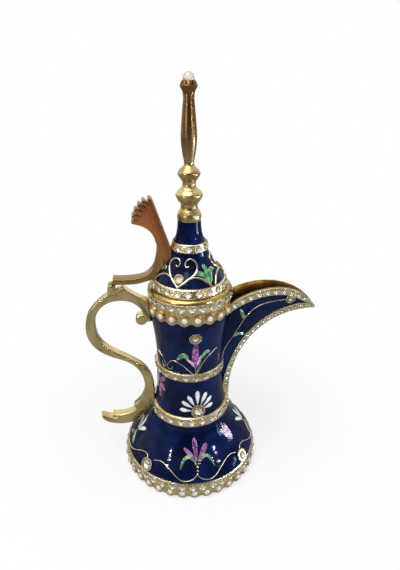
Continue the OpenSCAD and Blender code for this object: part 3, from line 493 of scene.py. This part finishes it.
# (the lid turns about the Y axis, so how far a face looks along it never changes)
sideways = add(tree, "ShaderNodeSeparateXYZ", links={"Vector": facing.outputs["Normal"]})
flat = add(tree, "ShaderNodeMath", links={0: sideways.outputs["Y"]}, operation="ABSOLUTE")
cheek = add(tree, "ShaderNodeMapRange", {"From Min": 0.75, "From Max": 0.98},
            {"Value": flat.outputs["Value"]})
cloud = add(tree, "ShaderNodeTexNoise", {"Scale": 1 / (4 * MM), "Detail": 3.0}, {"Vector": place})
# Painted reflection: a coppery tone on the flat cheeks, strongest at the top
copper_reflection = add(tree, "ShaderNodeMix", {"A": linear("#cf7c4c"), "B": linear("#e69460")},
             {"Factor": cloud.outputs["Fac"]}, data_type="RGBA")
brown = add(tree, "ShaderNodeMix", {"A": linear("#ac8e5a")},
            {"Factor": height.outputs["Result"], "B": copper_reflection.outputs["Result"]}, data_type="RGBA")
tone = add(tree, "ShaderNodeMix", {"A": linear("#9a7f4c")},
           {"Factor": cheek.outputs["Result"], "B": brown.outputs["Result"]}, data_type="RGBA")
worn = add(tree, "ShaderNodeMapRange", {"To Min": 0.2, "To Max": 0.4}, {"Value": cloud.outputs["Fac"]})
dent = add(tree, "ShaderNodeBump", {"Strength": 0.5, "Distance": 0.03 * MM},
           {"Height": cloud.outputs["Fac"]})
plate = add(tree, "ShaderNodeBsdfPrincipled", {"Metallic": 1.0},
            {"Base Color": tone.outputs["Result"], "Roughness": worn.outputs["Result"],
             "Normal": dent.outputs["Normal"]})
add(tree, "ShaderNodeOutputMaterial", links={"Surface": plate.outputs["BSDF"]})

# Height in mm where the comb starts, the bend of its hollow side with the place of the first
# tooth, and its back from the last tooth down
COMB_Z = 110.2
COMB_HEEL, COMB_SIDE = (-14.6, 115.6), (-20.6, 117.0)
COMB_BACK = [(-14.1, 126.3), (-12.7, 122.2), (-11.1, 117.4)]
TOOTH_R = 0.64
# Tip of each tooth in mm and the way it points in degrees, and the notches between them
TEETH = [(-22.2, 118.1, 168), (-21.8, 120.6, 142), (-20.8, 122.9, 131), (-19.4, 124.8, 127),
         (-17.7, 126.2, 122), (-15.4, 127.0, 112)]
NOTCHES = [(-20.0, 118.6), (-18.8, 120.2), (-17.6, 121.9), (-16.3, 123.2), (-15.2, 124.3)]


def fan_comb(bm):
    """Cuts the lever off under its comb and grows the fan of short round teeth on it."""
    bmesh.ops.bisect_plane(bm, geom=bm.verts[:] + bm.edges[:] + bm.faces[:], plane_co=(0, 0, COMB_Z * MM),
                           plane_no=(0, 0, 1), clear_outer=True)
    rim = [v.co for e in bm.edges if e.is_boundary for v in e.verts]
    left, right, half = min(p.x for p in rim), max(p.x for p in rim), max(p.y for p in rim)
    # Outline of the fan: up the hollow side, round each tooth, down the back
    start = (left / MM, COMB_Z)
    line = [tuple(a * (1 - t) ** 2 + 2 * b * t * (1 - t) + c * t * t
                  for a, b, c in zip(start, COMB_HEEL, COMB_SIDE)) for t in (i / 10 for i in range(11))]
    for i, (x, z, way) in enumerate(TEETH):
        a = math.radians(way)
        middle = (x - TOOTH_R * math.cos(a), z - TOOTH_R * math.sin(a))
        for k in range(9):
            b = a + math.radians(80 - 20 * k)
            line.append((middle[0] + TOOTH_R * math.cos(b), middle[1] + TOOTH_R * math.sin(b)))
        line += NOTCHES[i:i + 1]
    line += COMB_BACK + [(right / MM, COMB_Z)]
    fan = bm.faces.new([bm.verts.new((x * MM, -half, z * MM)) for x, z in line])
    across = bmesh.ops.extrude_face_region(bm, geom=[fan])["geom"]
    bmesh.ops.translate(bm, verts=[part for part in across if isinstance(part, bmesh.types.BMVert)],
                        vec=(0, 2 * half, 0))
    # Where the fan stands on the lever it has no face
    seat = [f for f in bm.faces if all(abs(v.co.z - COMB_Z * MM) < 0.001 * MM for v in f.verts)]
    bmesh.ops.delete(bm, geom=seat, context="FACES")
    bmesh.ops.remove_doubles(bm, verts=bm.verts[:], dist=0.01 * MM)
    bmesh.ops.recalc_face_normals(bm, faces=bm.faces[:])
    merge_flats(bm)


filed("thumb_lever", "thumb_lever_cast", "lid", 0.14, lever_gold, 30, 2, fan_comb)

# ---- Finial ----------------------------------------------------------------------------
# Turned brass, gilded: bell cup, two beads, baluster and claws, threaded on one stud, with a
# pearl at the top.
def smooth_run(points, steps=6):
    """Points on one smooth line through the given pairs, steps of them for each stretch."""
    rows = [Vector((*p, 0)).to_2d() for p in points]
    line = []
    for i in range(len(rows) - 1):
        a, b = rows[max(i - 1, 0)], rows[i]
        c, d = rows[i + 1], rows[min(i + 2, len(rows) - 1)]
        for k in range(steps):
            t = k / steps
            line.append(0.5 * (2 * b + (c - a) * t + (2 * a - 5 * b + 4 * c - d) * t * t
                               + (3 * b - a - 3 * c + d) * t ** 3))
    return line + [rows[-1]]


def turned(node, name, profile, material):
    """A lathe-turned piece for a CAD node, from radius and height of points on its smooth profile."""
    line = smooth_run(profile, 5)
    line = [Vector((0, line[0].y))] + line + [Vector((0, line[-1].y))]
    bm = bmesh.new()
    points = [bm.verts.new((p.x * MM, 0, p.y * MM)) for p in line]
    edges = [bm.edges.new(pair) for pair in zip(points, points[1:])]
    bmesh.ops.spin(bm, geom=points + edges, cent=(0, 0, 0), axis=(0, 0, 1), steps=40, angle=2 * math.pi)
    bmesh.ops.remove_doubles(bm, verts=bm.verts[:], dist=0.005 * MM)
    piece = own_piece(name, bm, [material], "lid")
    keep_edges(piece, 40)
    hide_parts(node)


# Turned gold: pale and bright on the beads; a painted dark reflection turns it a coppery brown up the
# shaft
turned_gold = gold_plate("turned and gilded brass", "#dcc68e", "#af945c", 0.24, 0.38, 1.8, 0.001, 7.0)
tree = turned_gold.node_tree
parts = add(tree, "ShaderNodeSeparateXYZ",
            links={"Vector": tree.nodes["Texture Coordinate"].outputs["Object"]})
height = add(tree, "ShaderNodeMapRange", {"From Min": 134 * MM, "From Max": 152 * MM},
             {"Value": parts.outputs["Z"]})
# Painted dark reflection: the colour is mixed towards brown from 134 mm up
held = add(tree, "ShaderNodeMix", {"B": linear("#83603c")},
           {"Factor": height.outputs["Result"], "A": tree.nodes["Color Ramp"].outputs["Color"]},
           data_type="RGBA")
tree.links.new(held.outputs["Result"], tree.nodes["Principled BSDF"].inputs["Base Color"])
coat(turned_gold, "finial_claws", "finial_stud", "finial_nut")
# Profiles, from the bottom up: the bell; the lower bead, the upper bead, the long baluster
BELL = [(4.5, 117.75), (4.68, 118.9), (4.5, 120.2), (3.9, 121.4), (3.35, 122.3), (3.2, 123.2),
        (3.35, 124.15)]
BALUSTER = [(3.35, 124.15), (4.3, 125.4), (5.0, 126.8), (5.08, 127.9), (4.3, 129), (3.1, 130),
            (2.55, 131.2), (2.6, 132.4), (3.3, 133.5), (4.1, 134.8), (4.15, 135.9), (3.4, 137),
            (2.3, 138), (1.85, 139), (2.15, 141), (2.65, 144), (2.95, 147.5), (2.85, 151),
            (2.55, 155), (2.2, 158.8), (1.95, 161.35)]
turned("finial_bell", "finial_bell_turned", BELL, turned_gold)
turned("finial_baluster", "finial_baluster_turned", BALUSTER, turned_gold)
coat(pearl_lacquer, "finial_pearl")

# ---- Bezel stones ----------------------------------------------------------------------
# Larger cut stones in collars of sheet gold, with a beaded wire about each collar on the pot.
# Sheet gold, burnished over the stones: bright and nearly smooth
bright_gold = gold_plate("bright gold plate", "#d6c190", "#a9925e", 0.12, 0.24, 1.1, 0.004)
coat(bright_gold, "pot_bezels", "lid_bezels")
set_stones("pot", ["pot_bezel_stones"], "pot_bezel_stones", beads=8, size=0.2)
set_stones("lid", ["lid_bezel_stones"], "lid_bezel_stones", beads=8, size=0.2)

# Beaded wire: its distance from the stone, and the pitch and radius of its beads, in mm
WIRE_GAP, BEAD_PITCH, BEAD_R = 0.95, 0.5, 0.27
frames = bmesh.new()
for middle, axis, radius in settings_of("pot_bezel_stones"):
    ring = radius / MM + WIRE_GAP
    for spot in hoop(middle - axis * 0.1 * MM, axis, ring, round(2 * math.pi * ring / BEAD_PITCH)):
        made = bmesh.ops.create_icosphere(frames, subdivisions=1, radius=BEAD_R * MM)
        bmesh.ops.translate(frames, verts=made["verts"], vec=spot)
own_piece("pot_bezel_frames", frames, [rubbed_gold], "pot")

# ---- Wires and petals on the belly -----------------------------------------------------
# Cloisonne: drawn wire soldered to the metal in one drooping line from stone to stone, and
# small cells of opaque enamel, domed by firing, each edged with fine wire.
def skin_of(*nodes):
    """Search tree over the faces of some CAD nodes."""
    points, faces = [], []
    for node in nodes:
        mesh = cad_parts[node].data
        base = len(points)
        points += [v.co.copy() for v in mesh.vertices]
        faces += [tuple(i + base for i in p.vertices) for p in mesh.polygons]
    return BVHTree.FromPolygons(points, faces)


# Rays that find a skin start this far from the axis in metres, outside every piece
OUTSIDE = 0.09


def round_the_pot(skin):
    """A chart of a turned skin: degrees round from the front towards the spout, and height in mm."""
    def spot(turn, height):
        a = math.radians(turn)
        out = Vector((math.sin(a), -math.cos(a), 0))
        point, normal, _, _ = skin.ray_cast(out * OUTSIDE + Vector((0, 0, height * MM)), -out)
        return point, normal if normal.dot(out) > 0 else -normal
    return spot


def laid(chart, points, lift=0.12, steps=6):
    """Places on a skin along a smooth line, raised lift mm from it."""
    spots = [chart(*p) for p in smooth_run(points, steps)]
    return [point + normal * lift * MM for point, normal in spots]


def about(turn, points):
    """The same chart points turned round the pot."""
    return [(a + turn, z) for a, z in points]


def flipped(points):
    """The mirror image of chart points in the line above their origin."""
    return [(-a, z) for a, z in points]


# A cell is sunk this far under the skin; its wire lies this far beside it and above the skin
SUNK, EDGE_GAP, EDGE_LIFT = 0.2, 0.06, 0.14


def petal(bm, edging, chart, points, width, rise=0.42, fat=0.6, steps=5):
    """A domed enamel cell along a chart line: width and rise in mm, fullest at fat (0 base, 1 tip).
    A sphere is drawn out along the line, with a wire laid round its foot."""
    spine = [chart(*p) for p in smooth_run(points, steps)]
    last = len(spine) - 1
    made = bmesh.ops.create_uvsphere(bm, u_segments=12, v_segments=10, radius=1.0)["verts"]
    power = math.log(0.5) / math.log(fat)

    def at(t):
        """Place, outward way and sideways way at a share of the line."""
        i = min(int(t * last), last - 1)
        k = t * last - i
        point = spine[i][0].lerp(spine[i + 1][0], k)
        normal = spine[i][1].lerp(spine[i + 1][1], k).normalized()
        run = (spine[i + 1][0] - spine[i][0]).normalized()
        return point, normal, normal.cross(run).normalized()

    def half(t):
        """Half the cell's width in mm there."""
        return width / 2 * math.sin(math.pi * min(max(t, 0), 1) ** power) ** 0.75

    for v in made:
        t = min(max((v.co.z + 1) / 2, 0.0), 1.0)
        across = max(math.sqrt(max(1 - v.co.z ** 2, 0)), 1e-6)
        point, normal, side = at(t)
        up = v.co.y / across
        high = rise * up * math.sqrt(max(math.sin(math.pi * t), 0)) if up > 0 else SUNK * up
        v.co = point + side * (v.co.x / across * half(t) * MM) + normal * high * MM
    rim = []
    for t, way in [(i / 9, 1) for i in range(10)] + [(i / 9, -1) for i in range(8, 0, -1)]:
        point, normal, side = at(t)
        rim.append(point + side * (way * (half(t) + EDGE_GAP) * MM) + normal * EDGE_LIFT * MM)
    bend(edging, rim, closed=True)


def glassy(name, body, pale, hollow_shade):
    """Opaque enamel, glossy from the fire: body colour clouded at random with a paler one, and
    darker in the ripple's hollows as painted shade."""
    material, tree, place = finish(name)
    cloud = add(tree, "ShaderNodeTexNoise", {"Scale": 1 / (1.5 * MM), "Detail": 2.0}, {"Vector": place})
    tone = add(tree, "ShaderNodeValToRGB", links={"Fac": cloud.outputs["Fac"]})
    # Painted shade: the darkest tone goes where the ripple dips
    for stop, (position, colour) in zip(tone.color_ramp.elements, ((0.3, hollow_shade), (0.7, pale))):
        stop.position, stop.color = position, linear(colour)
    tone.color_ramp.elements.new(0.48).color = linear(body)
    ripple = add(tree, "ShaderNodeBump", {"Strength": 0.5, "Distance": 0.02 * MM},
                 {"Height": cloud.outputs["Fac"]})
    glaze = add(tree, "ShaderNodeBsdfPrincipled", {"IOR": 1.5, "Roughness": 0.12},
                {"Base Color": tone.outputs["Color"], "Normal": ripple.outputs["Normal"]})
    add(tree, "ShaderNodeOutputMaterial", links={"Surface": glaze.outputs["BSDF"]})
    return material


purple_enamel = glassy("opaque purple enamel", "#83368f", "#c487bf", "#541f66")
pink_enamel = glassy("opaque pink enamel", "#cf9fc8", "#f0dce8", "#a86aa8")
green_enamel = glassy("opaque green enamel", "#3f8f5c", "#8cc79c", "#1f6338")
white_enamel = glassy("opaque white enamel", "#dfe2ec", "#f3f4f7", "#b9bfd6")

purple_cells, pink_cells, green_cells, white_cells = (bmesh.new() for _ in range(4))
pot_wires = wire_set("pot_wires", "pot", 0.46)
pot_edging = wire_set("pot_petal_edging", "pot", 0.24)
gold_grains = bmesh.new()
belly = round_the_pot(skin_of("belly_shell"))
# How far the middle of a wire lies above the skin, in mm
WIRE_LIFT = 0.15

# Chart points, degrees and mm: the wire from the lily to a stone, and on to the side flower
droop = [(0, 11.4), (2.6, 10.2), (6.8, 9.3), (12, 9.1), (17, 10.0), (22.5, 11.7), (30, 13.4),
         (36.5, 14), (43, 13.2)]
link = [(50.5, 12.9), (54, 13.7), (60.5, 13.1), (68, 11.2), (76, 9.6), (90, 8.9)]
for turn in (0, 180):
    for line in (droop, link, flipped(droop), flipped(link)):
        bend(pot_wires, laid(belly, about(turn, line), WIRE_LIFT))
    # Lily: three purple petals over two curled green leaves, tied with gold balls
    for line, width, cells in ((((0.5, 16), (-0.5, 20), (-1.2, 23.9)), 1.75, purple_cells),
                               (((0.2, 15.6), (-6, 18), (-13.4, 20.2)), 1.5, purple_cells),
                               (((1.5, 15.6), (7.5, 18.4), (13.6, 21.3)), 1.8, purple_cells)):
        petal(cells, pot_edging, belly, about(turn, line), width)
    for way in (1, -1):
        leaf = [(1 + 2 * way, 15.4), (1 + 8 * way, 17.2), (1 + 13.6 * way, 16.2), (1 + 16.5 * way, 13)]
        petal(green_cells, pot_edging, belly, about(turn, leaf), 1.1, fat=0.45)
    for a, z, size in ((-0.9, 14.9, 0.5), (2.3, 14.9, 0.5), (0.7, 13.9, 0.68), (0.6, 12.6, 0.62),
                       (0.4, 11.6, 0.5)):
        point, normal = belly(turn + a, z)
        made = bmesh.ops.create_icosphere(gold_grains, subdivisions=2, radius=size * MM)
        bmesh.ops.translate(gold_grains, verts=made["verts"], vec=point + normal * size * 0.6 * MM)

# Flowers of the belly's sides: white trumpet petals over two drooping green leaves
for turn, low in ((-86, 1.8), (89, 2.6)):
    for line, width in ((((0, 17), (-6, 20), (-15, 22.6)), 1.8),
                        (((0, 17), (0.5, 20.8), (-2, 24.4)), 1.7),
                        (((0, 17), (6, 19.4), (13, 21)), 1.9)):
        petal(white_cells, pot_edging, belly, [(a + turn, z - low) for a, z in line], width)
    for line, width in ((((0, 16.6), (2, 14.8), (9, 12.8)), 1.3),
                        (((0, 16.6), (-2, 14.8), (-10, 13)), 1.2)):
        petal(green_cells, pot_edging, belly, [(a + turn, z - low) for a, z in line], width)
# Pink buds beside them, high on the belly
for turn in (47, -133):
    for line, width, fat in ((((-5, 25.6), (-1.5, 22), (2, 17.4)), 1.9, 0.65),
                             (((-9, 23.4), (-5, 21.4), (-0.5, 18)), 1.2, 0.6),
                             (((0.5, 24.8), (2.5, 21.6), (3.6, 18)), 1.2, 0.6)):
        petal(pink_cells, pot_edging, belly, about(turn, line), width, fat=fat)

# ---- Daisies on the lower neck ---------------------------------------------------------
# White teardrop petals in a fan over the stone at the shoulder, front and back.
neck = round_the_pot(skin_of("neck_shell"))
# Radius of the neck there and how far from the stone's middle the petals start, in mm, and the
# share of a length that is height, because the neck leans
NECK_R, PETAL_FOOT, UPRIGHT = 15.9, 2.7, 0.97
for middle, _, _ in settings_of("pot_bezel_stones"):
    if 34 * MM < middle.z < 39 * MM:
        turn = math.degrees(math.atan2(middle.x, -middle.y))
        high = middle.z / MM
        # Way of each petal from upright in degrees, its reach and its width in mm
        for way, reach, width in ((-86, 8.2, 1.7), (-57, 8.6, 1.7), (-30, 9, 1.7), (0, 10.2, 1.9),
                                  (27, 9.6, 1.8), (53, 8.8, 1.8), (79, 7.6, 1.6)):
            lean = math.radians(way)
            run = [(turn + math.degrees(math.sin(lean) * far / NECK_R),
                    high + math.cos(lean) * far * UPRIGHT)
                   for far in (PETAL_FOOT, 0.5 * (PETAL_FOOT + reach), reach)]
            petal(white_cells, pot_edging, neck, run, width, fat=0.68)

# ---- Tall flowers on the upper neck ----------------------------------------------------
# A purple spindle between pink and green leaves, on a gold stem that starts from the waist
# band, with a wire to each side that ends in a curl.
waist = round_the_pot(skin_of("neck_shell", "waist_band"))
petals = ((purple_cells, ((1.3, 57.6), (0.6, 64), (0.6, 71.2)), 2.5, 0.5),
          (pink_cells, ((1, 58.4), (-6, 61.2), (-13.5, 62.8)), 1.3, 0.5),
          (pink_cells, ((2, 59), (6, 61.6), (9.5, 64.2)), 1.0, 0.5),
          (green_cells, ((-11, 62.6), (-18, 64.8), (-29, 61.9)), 1.9, 0.45),
          (green_cells, ((10, 62.6), (17, 65.6), (25, 65.2)), 1.6, 0.5))
stem = ((1.5, 52.2), (1.5, 55), (1.3, 58.4))
left = ((0.5, 54.2), (-8, 56.4), (-18, 59), (-30, 60.9), (-38, 60.8), (-45, 59), (-48.5, 57.2),
        (-45.5, 56.1), (-40, 56.3), (-37.6, 57.8))
right = ((2.5, 54.4), (8, 57.6), (14, 60.6), (22, 63), (31, 64.4), (38, 65.6), (41, 64.4))
twig = ((2.5, 55), (7.5, 59.4), (10, 62.4))
# Only in front: a loose curl towards the handle and a tail towards the beak
curl = ((-74, 62.2), (-67, 61.6), (-58, 60.4), (-52.5, 58), (-54.5, 55.8), (-60, 56.4), (-60.5, 58.2))
tail = ((44, 61.8), (47.5, 60), (46, 58))
for turn in (2, 178):
    for cells, line, width, fat in petals:
        petal(cells, pot_edging, neck, about(turn, line), width, fat=fat)
    bend(pot_wires, laid(waist, about(turn, stem), 0.2), taper=0.4)
    front_only = ((curl, 0.4), (tail, 0.4)) if turn < 90 else ()
    for line, taper in ((left, 0.45), (right, 0.45), (twig, 0.3)) + front_only:
        bend(pot_wires, laid(neck, about(turn, line), WIRE_LIFT), taper=taper)

# ---- Clovers beside the handle ---------------------------------------------------------
# Purple petals with one long white one, below the waist band on both sides of the handle.
for way, centre in ((1, -70), (-1, -110)):
    for line, width, cells in ((((0, 45), (8, 47.6), (17, 49.4)), 1.9, purple_cells),
                               (((0, 44.6), (9, 44.4), (17, 42.8)), 1.8, purple_cells),
                               (((-1, 44), (4, 41.4), (6, 38.6)), 1.6, purple_cells),
                               (((-2, 45.4), (-4, 48), (-3, 50.6)), 1.7, purple_cells),
                               (((-9, 50), (-11, 45.5), (-9, 40.6)), 2.2, white_cells)):
        petal(cells, pot_edging, neck, [(centre + a * way, z) for a, z in line], width)

# ---- Vine on the beak ------------------------------------------------------------------
# One wire climbs each cheek from the neck to the stone near the tip, with two green leaves.
cheek_skin = skin_of("spout_shell", "neck_shell")


# Rays that find a cheek start this far to its side of the middle plane, in metres
BESIDE = 0.03


def on_side(way):
    """A chart of one cheek: distance from the axis and height, both in mm."""
    def spot(x, z):
        point, normal, _, _ = cheek_skin.ray_cast(Vector((x * MM, BESIDE * way, z * MM)),
                                                  Vector((0, -way, 0)))
        return point, normal if normal.y * way > 0 else -normal
    return spot


beak_stone = [middle for middle, _, _ in settings_of("pot_bezel_stones") if middle.x > 30 * MM][0]
vine = [(14, 54.6), (14.1, 56.6), (14.5, 59.4), (15.5, 62), (16.8, 64.3), (18.4, 66.4), (19.4, 68.6),
        (20.5, 70.4), (21.6, 72.6), (22.7, 74.6), (24.4, 77), (26.4, 79), (29, 80.5), (31.5, 81.3),
        (34, 81.7), (beak_stone.x / MM - 1.7, beak_stone.z / MM)]
for way in (-1, 1):
    chart = on_side(way)
    bend(pot_wires, laid(chart, vine, WIRE_LIFT, steps=4))
    petal(green_cells, pot_edging, chart, ((22.7, 74.6), (21.8, 77), (20.7, 79.8)), 1.3, fat=0.45)
    petal(green_cells, pot_edging, chart, ((18.2, 65.9), (20.4, 67), (23.4, 66)), 1.3, fat=0.45)

for name, cells, material in (("pot_purple_petals", purple_cells, purple_enamel),
                              ("pot_pink_petals", pink_cells, pink_enamel),
                              ("pot_green_leaves", green_cells, green_enamel),
                              ("pot_white_petals", white_cells, white_enamel)):
    own_piece(name, cells, [material], "pot")
own_piece("pot_gold_grains", gold_grains, [bright_gold], "pot")

# ---- Scrolls on the lid ----------------------------------------------------------------
# Round the dome: low arches of wire, a heart of two curls over each stone, and a cluster of
# green leaves where the arches meet between the hearts.
dome = round_the_pot(skin_of("lid_shell"))
lid_wires = wire_set("lid_wires", "lid", 0.9)
lid_edging = wire_set("lid_leaf_edging", "lid", 0.24)
lid_leaves = bmesh.new()
heart_l = ((0, 95), (-7, 95.9), (-15, 97.2), (-25, 99), (-33, 100.8), (-33, 102.8), (-22, 104),
           (-9, 103.8), (-5, 102.4), (-9, 101.3), (-15, 101.6))
heart_r = ((0, 95), (8, 96), (18, 97.6), (30, 99.2), (37, 101), (36, 102.8), (24, 104.3),
           (13, 103.8), (8, 102.5), (12, 101.4), (18, 101.7))
arch = ((0, 94.5), (8, 96.2), (18, 97.6), (30, 98), (42, 97.3), (50, 96), (56, 94.5))
for middle, _, _ in settings_of("lid_bezel_stones"):
    turn = math.degrees(math.atan2(middle.x, -middle.y))
    for line, taper in ((heart_l, 0.35), (heart_r, 0.35), (arch, 0.0), (flipped(arch), 0.0)):
        bend(lid_wires, laid(dome, about(turn, line), 0.2), taper=taper)
    for line, width in ((((56, 95.2), (52, 97.6), (42, 99.4)), 2.0),
                        (((47, 98.2), (40, 99.2), (29, 99.4)), 1.7),
                        (((57, 95.6), (61, 98), (69, 99.6)), 2.0),
                        (((58, 97), (57, 99.8), (54, 102)), 1.7),
                        (((64, 98.4), (71, 99.6), (80, 99.2)), 1.6)):
        petal(lid_leaves, lid_edging, dome, about(turn, line), width, fat=0.5)
own_piece("lid_green_leaves", lid_leaves, [green_enamel], "lid")

# ---- Table, light and camera -----------------------------------------------------------
# White table and cove, one large soft box above, a window with a small bright pane on the right
# and two narrow lamps in front that draw short glints on the belly.
floor = bmesh.new()
bmesh.ops.create_circle(floor, cap_ends=True, segments=96, radius=1.6)
table_mesh = bpy.data.meshes.new("table")
floor.to_mesh(table_mesh)
floor.free()
table = bpy.data.objects.new("table", table_mesh)
bpy.context.scene.collection.objects.link(table)
white_board, tree, place = finish("white laminate")
board = add(tree, "ShaderNodeBsdfPrincipled", {"Base Color": linear("#f6f6f6"), "Roughness": 0.6,
            "Specular IOR Level": 0.2})
seen = add(tree, "ShaderNodeLightPath")
cove = add(tree, "ShaderNodeEmission", {"Color": (1, 1, 1, 1), "Strength": 1.0})
# The sheet fades to plain white away from the foot, where the shadow ends
fade = add(tree, "ShaderNodeVectorMath", links={0: place}, operation="LENGTH")
distance = add(tree, "ShaderNodeMapRange",
               {"From Min": 0.05, "From Max": 0.13, "To Min": 0.6, "To Max": 1.0},
               {"Value": fade.outputs["Value"]}, interpolation_type="SMOOTHSTEP")
share = add(tree, "ShaderNodeMath",
            links={0: distance.outputs["Result"], 1: seen.outputs["Is Camera Ray"]},
            operation="MULTIPLY")
mixed = add(tree, "ShaderNodeMixShader", links={0: share.outputs["Value"], 1: board.outputs["BSDF"],
            2: cove.outputs["Emission"]})
# Mirrored in the pot, the table is the dimmer room beyond the white sheet
unlit = add(tree, "ShaderNodeEmission", {"Strength": 0.0})
dim = add(tree, "ShaderNodeMath", {1: 0.62}, {0: seen.outputs["Is Glossy Ray"]}, operation="MULTIPLY")
table_look = add(tree, "ShaderNodeMixShader", links={0: dim.outputs["Value"], 1: mixed.outputs["Shader"],
                 2: unlit.outputs["Emission"]})
add(tree, "ShaderNodeOutputMaterial", links={"Surface": table_look.outputs["Shader"]})
table_mesh.materials.append(white_board)

world = bpy.data.worlds.new("studio")
bpy.context.scene.world = world
world.use_nodes = True
tree = world.node_tree
tree.nodes.clear()
path = add(tree, "ShaderNodeLightPath")
sky = add(tree, "ShaderNodeTexCoord")
lift = add(tree, "ShaderNodeVectorMath", {1: (-0.15, 0.62, 0.5)}, {0: sky.outputs["Generated"]},
           operation="DOT_PRODUCT")
room = add(tree, "ShaderNodeMapRange", {"From Min": -0.45, "From Max": 0.6, "To Min": 0.1, "To Max": 1.0},
           {"Value": lift.outputs["Value"]}, interpolation_type="SMOOTHSTEP")
mirrored = add(tree, "ShaderNodeMath",
               links={0: room.outputs["Result"], 1: path.outputs["Is Glossy Ray"]},
               operation="MULTIPLY")
plain = add(tree, "ShaderNodeMath",
            links={0: path.outputs["Is Camera Ray"], 1: path.outputs["Is Transmission Ray"]},
            operation="MAXIMUM")
shown = add(tree, "ShaderNodeMath", links={0: plain.outputs["Value"], 1: mirrored.outputs["Value"]},
            operation="MAXIMUM")
# White to the eye and through glass, shaded in mirrors, and half as bright as a lamp
ambient = add(tree, "ShaderNodeMath", {1: 0.5}, {0: shown.outputs["Value"]}, operation="MAXIMUM")
strength = add(tree, "ShaderNodeMix", links={"Factor": path.outputs["Is Glossy Ray"],
               "A": ambient.outputs["Value"], "B": shown.outputs["Value"]}, data_type="FLOAT")
backdrop = add(tree, "ShaderNodeBackground", {"Color": (1, 1, 1, 1)},
               {"Strength": strength.outputs["Result"]})
add(tree, "ShaderNodeOutputWorld", links={"Surface": backdrop.outputs["Background"]})


def soft_box(name, place_mm, aim_mm, width, height, watts, colour=(1, 1, 1)):
    """A rectangular lamp, its sides in metres, that looks at a point."""
    lamp = bpy.data.lights.new(name, "AREA")
    lamp.shape, lamp.size, lamp.size_y, lamp.energy = "RECTANGLE", width, height, watts
    lamp.color = colour
    holder = bpy.data.objects.new(name, lamp)
    place, aim = Vector(place_mm) * MM, Vector(aim_mm) * MM
    turn = (aim - place).to_track_quat("-Z", "Y").to_matrix().to_4x4()
    holder.matrix_world = Matrix.Translation(place) @ turn
    bpy.context.scene.collection.objects.link(holder)


soft_box("overhead", (-150, -150, 620), (0, 0, 60), 0.45, 0.45, 2.4)
# Daylight, bluer than the room
soft_box("window_right", (440, -130, 20), (15, -15, 20), 0.16, 0.12, 1.1, (0.45, 0.65, 1.0))
soft_box("window_pane", (430, -90, 60), (15, -15, 20), 0.03, 0.03, 0.16)
soft_box("lamp_right", (311, -313, 179), (9, -21, 18), 0.04, 0.006, 0.2)
soft_box("lamp_left", (-317, -297, 199), (-11, -22, 15), 0.03, 0.006, 0.2)

# Camera: close by and level with the finial's top, looking down, held in the hand
FOCAL_PX, FRAME_PX, SENSOR = 444, 570, 36.0
STAND_OFF, STAND_HIGH = 165, 170.5
eye = bpy.data.cameras.new("camera")
eye.sensor_fit, eye.sensor_height, eye.lens = "VERTICAL", SENSOR, FOCAL_PX / FRAME_PX * SENSOR
eye.clip_start = 0.005
camera = bpy.data.objects.new("camera", eye)
turn_in, pan, pitch, roll = (math.radians(v) for v in (6.0, 1.5, 26.15, 0.4))
stand = Vector((-STAND_OFF * math.sin(turn_in), -STAND_OFF * math.cos(turn_in), STAND_HIGH)) * MM
heading = turn_in + pan
ahead = Vector((math.sin(heading) * math.cos(pitch), math.cos(heading) * math.cos(pitch),
                -math.sin(pitch)))
right = Vector((math.cos(heading), -math.sin(heading), 0))
above = right.cross(ahead)
across = right * math.cos(roll) + above * math.sin(roll)
turn = Matrix((across, across.cross(ahead), -ahead)).transposed().to_4x4()
camera.matrix_world = Matrix.Translation(stand) @ turn
bpy.context.scene.collection.objects.link(camera)
bpy.context.scene.camera = camera
bpy.context.scene.view_settings.view_transform = "Standard"
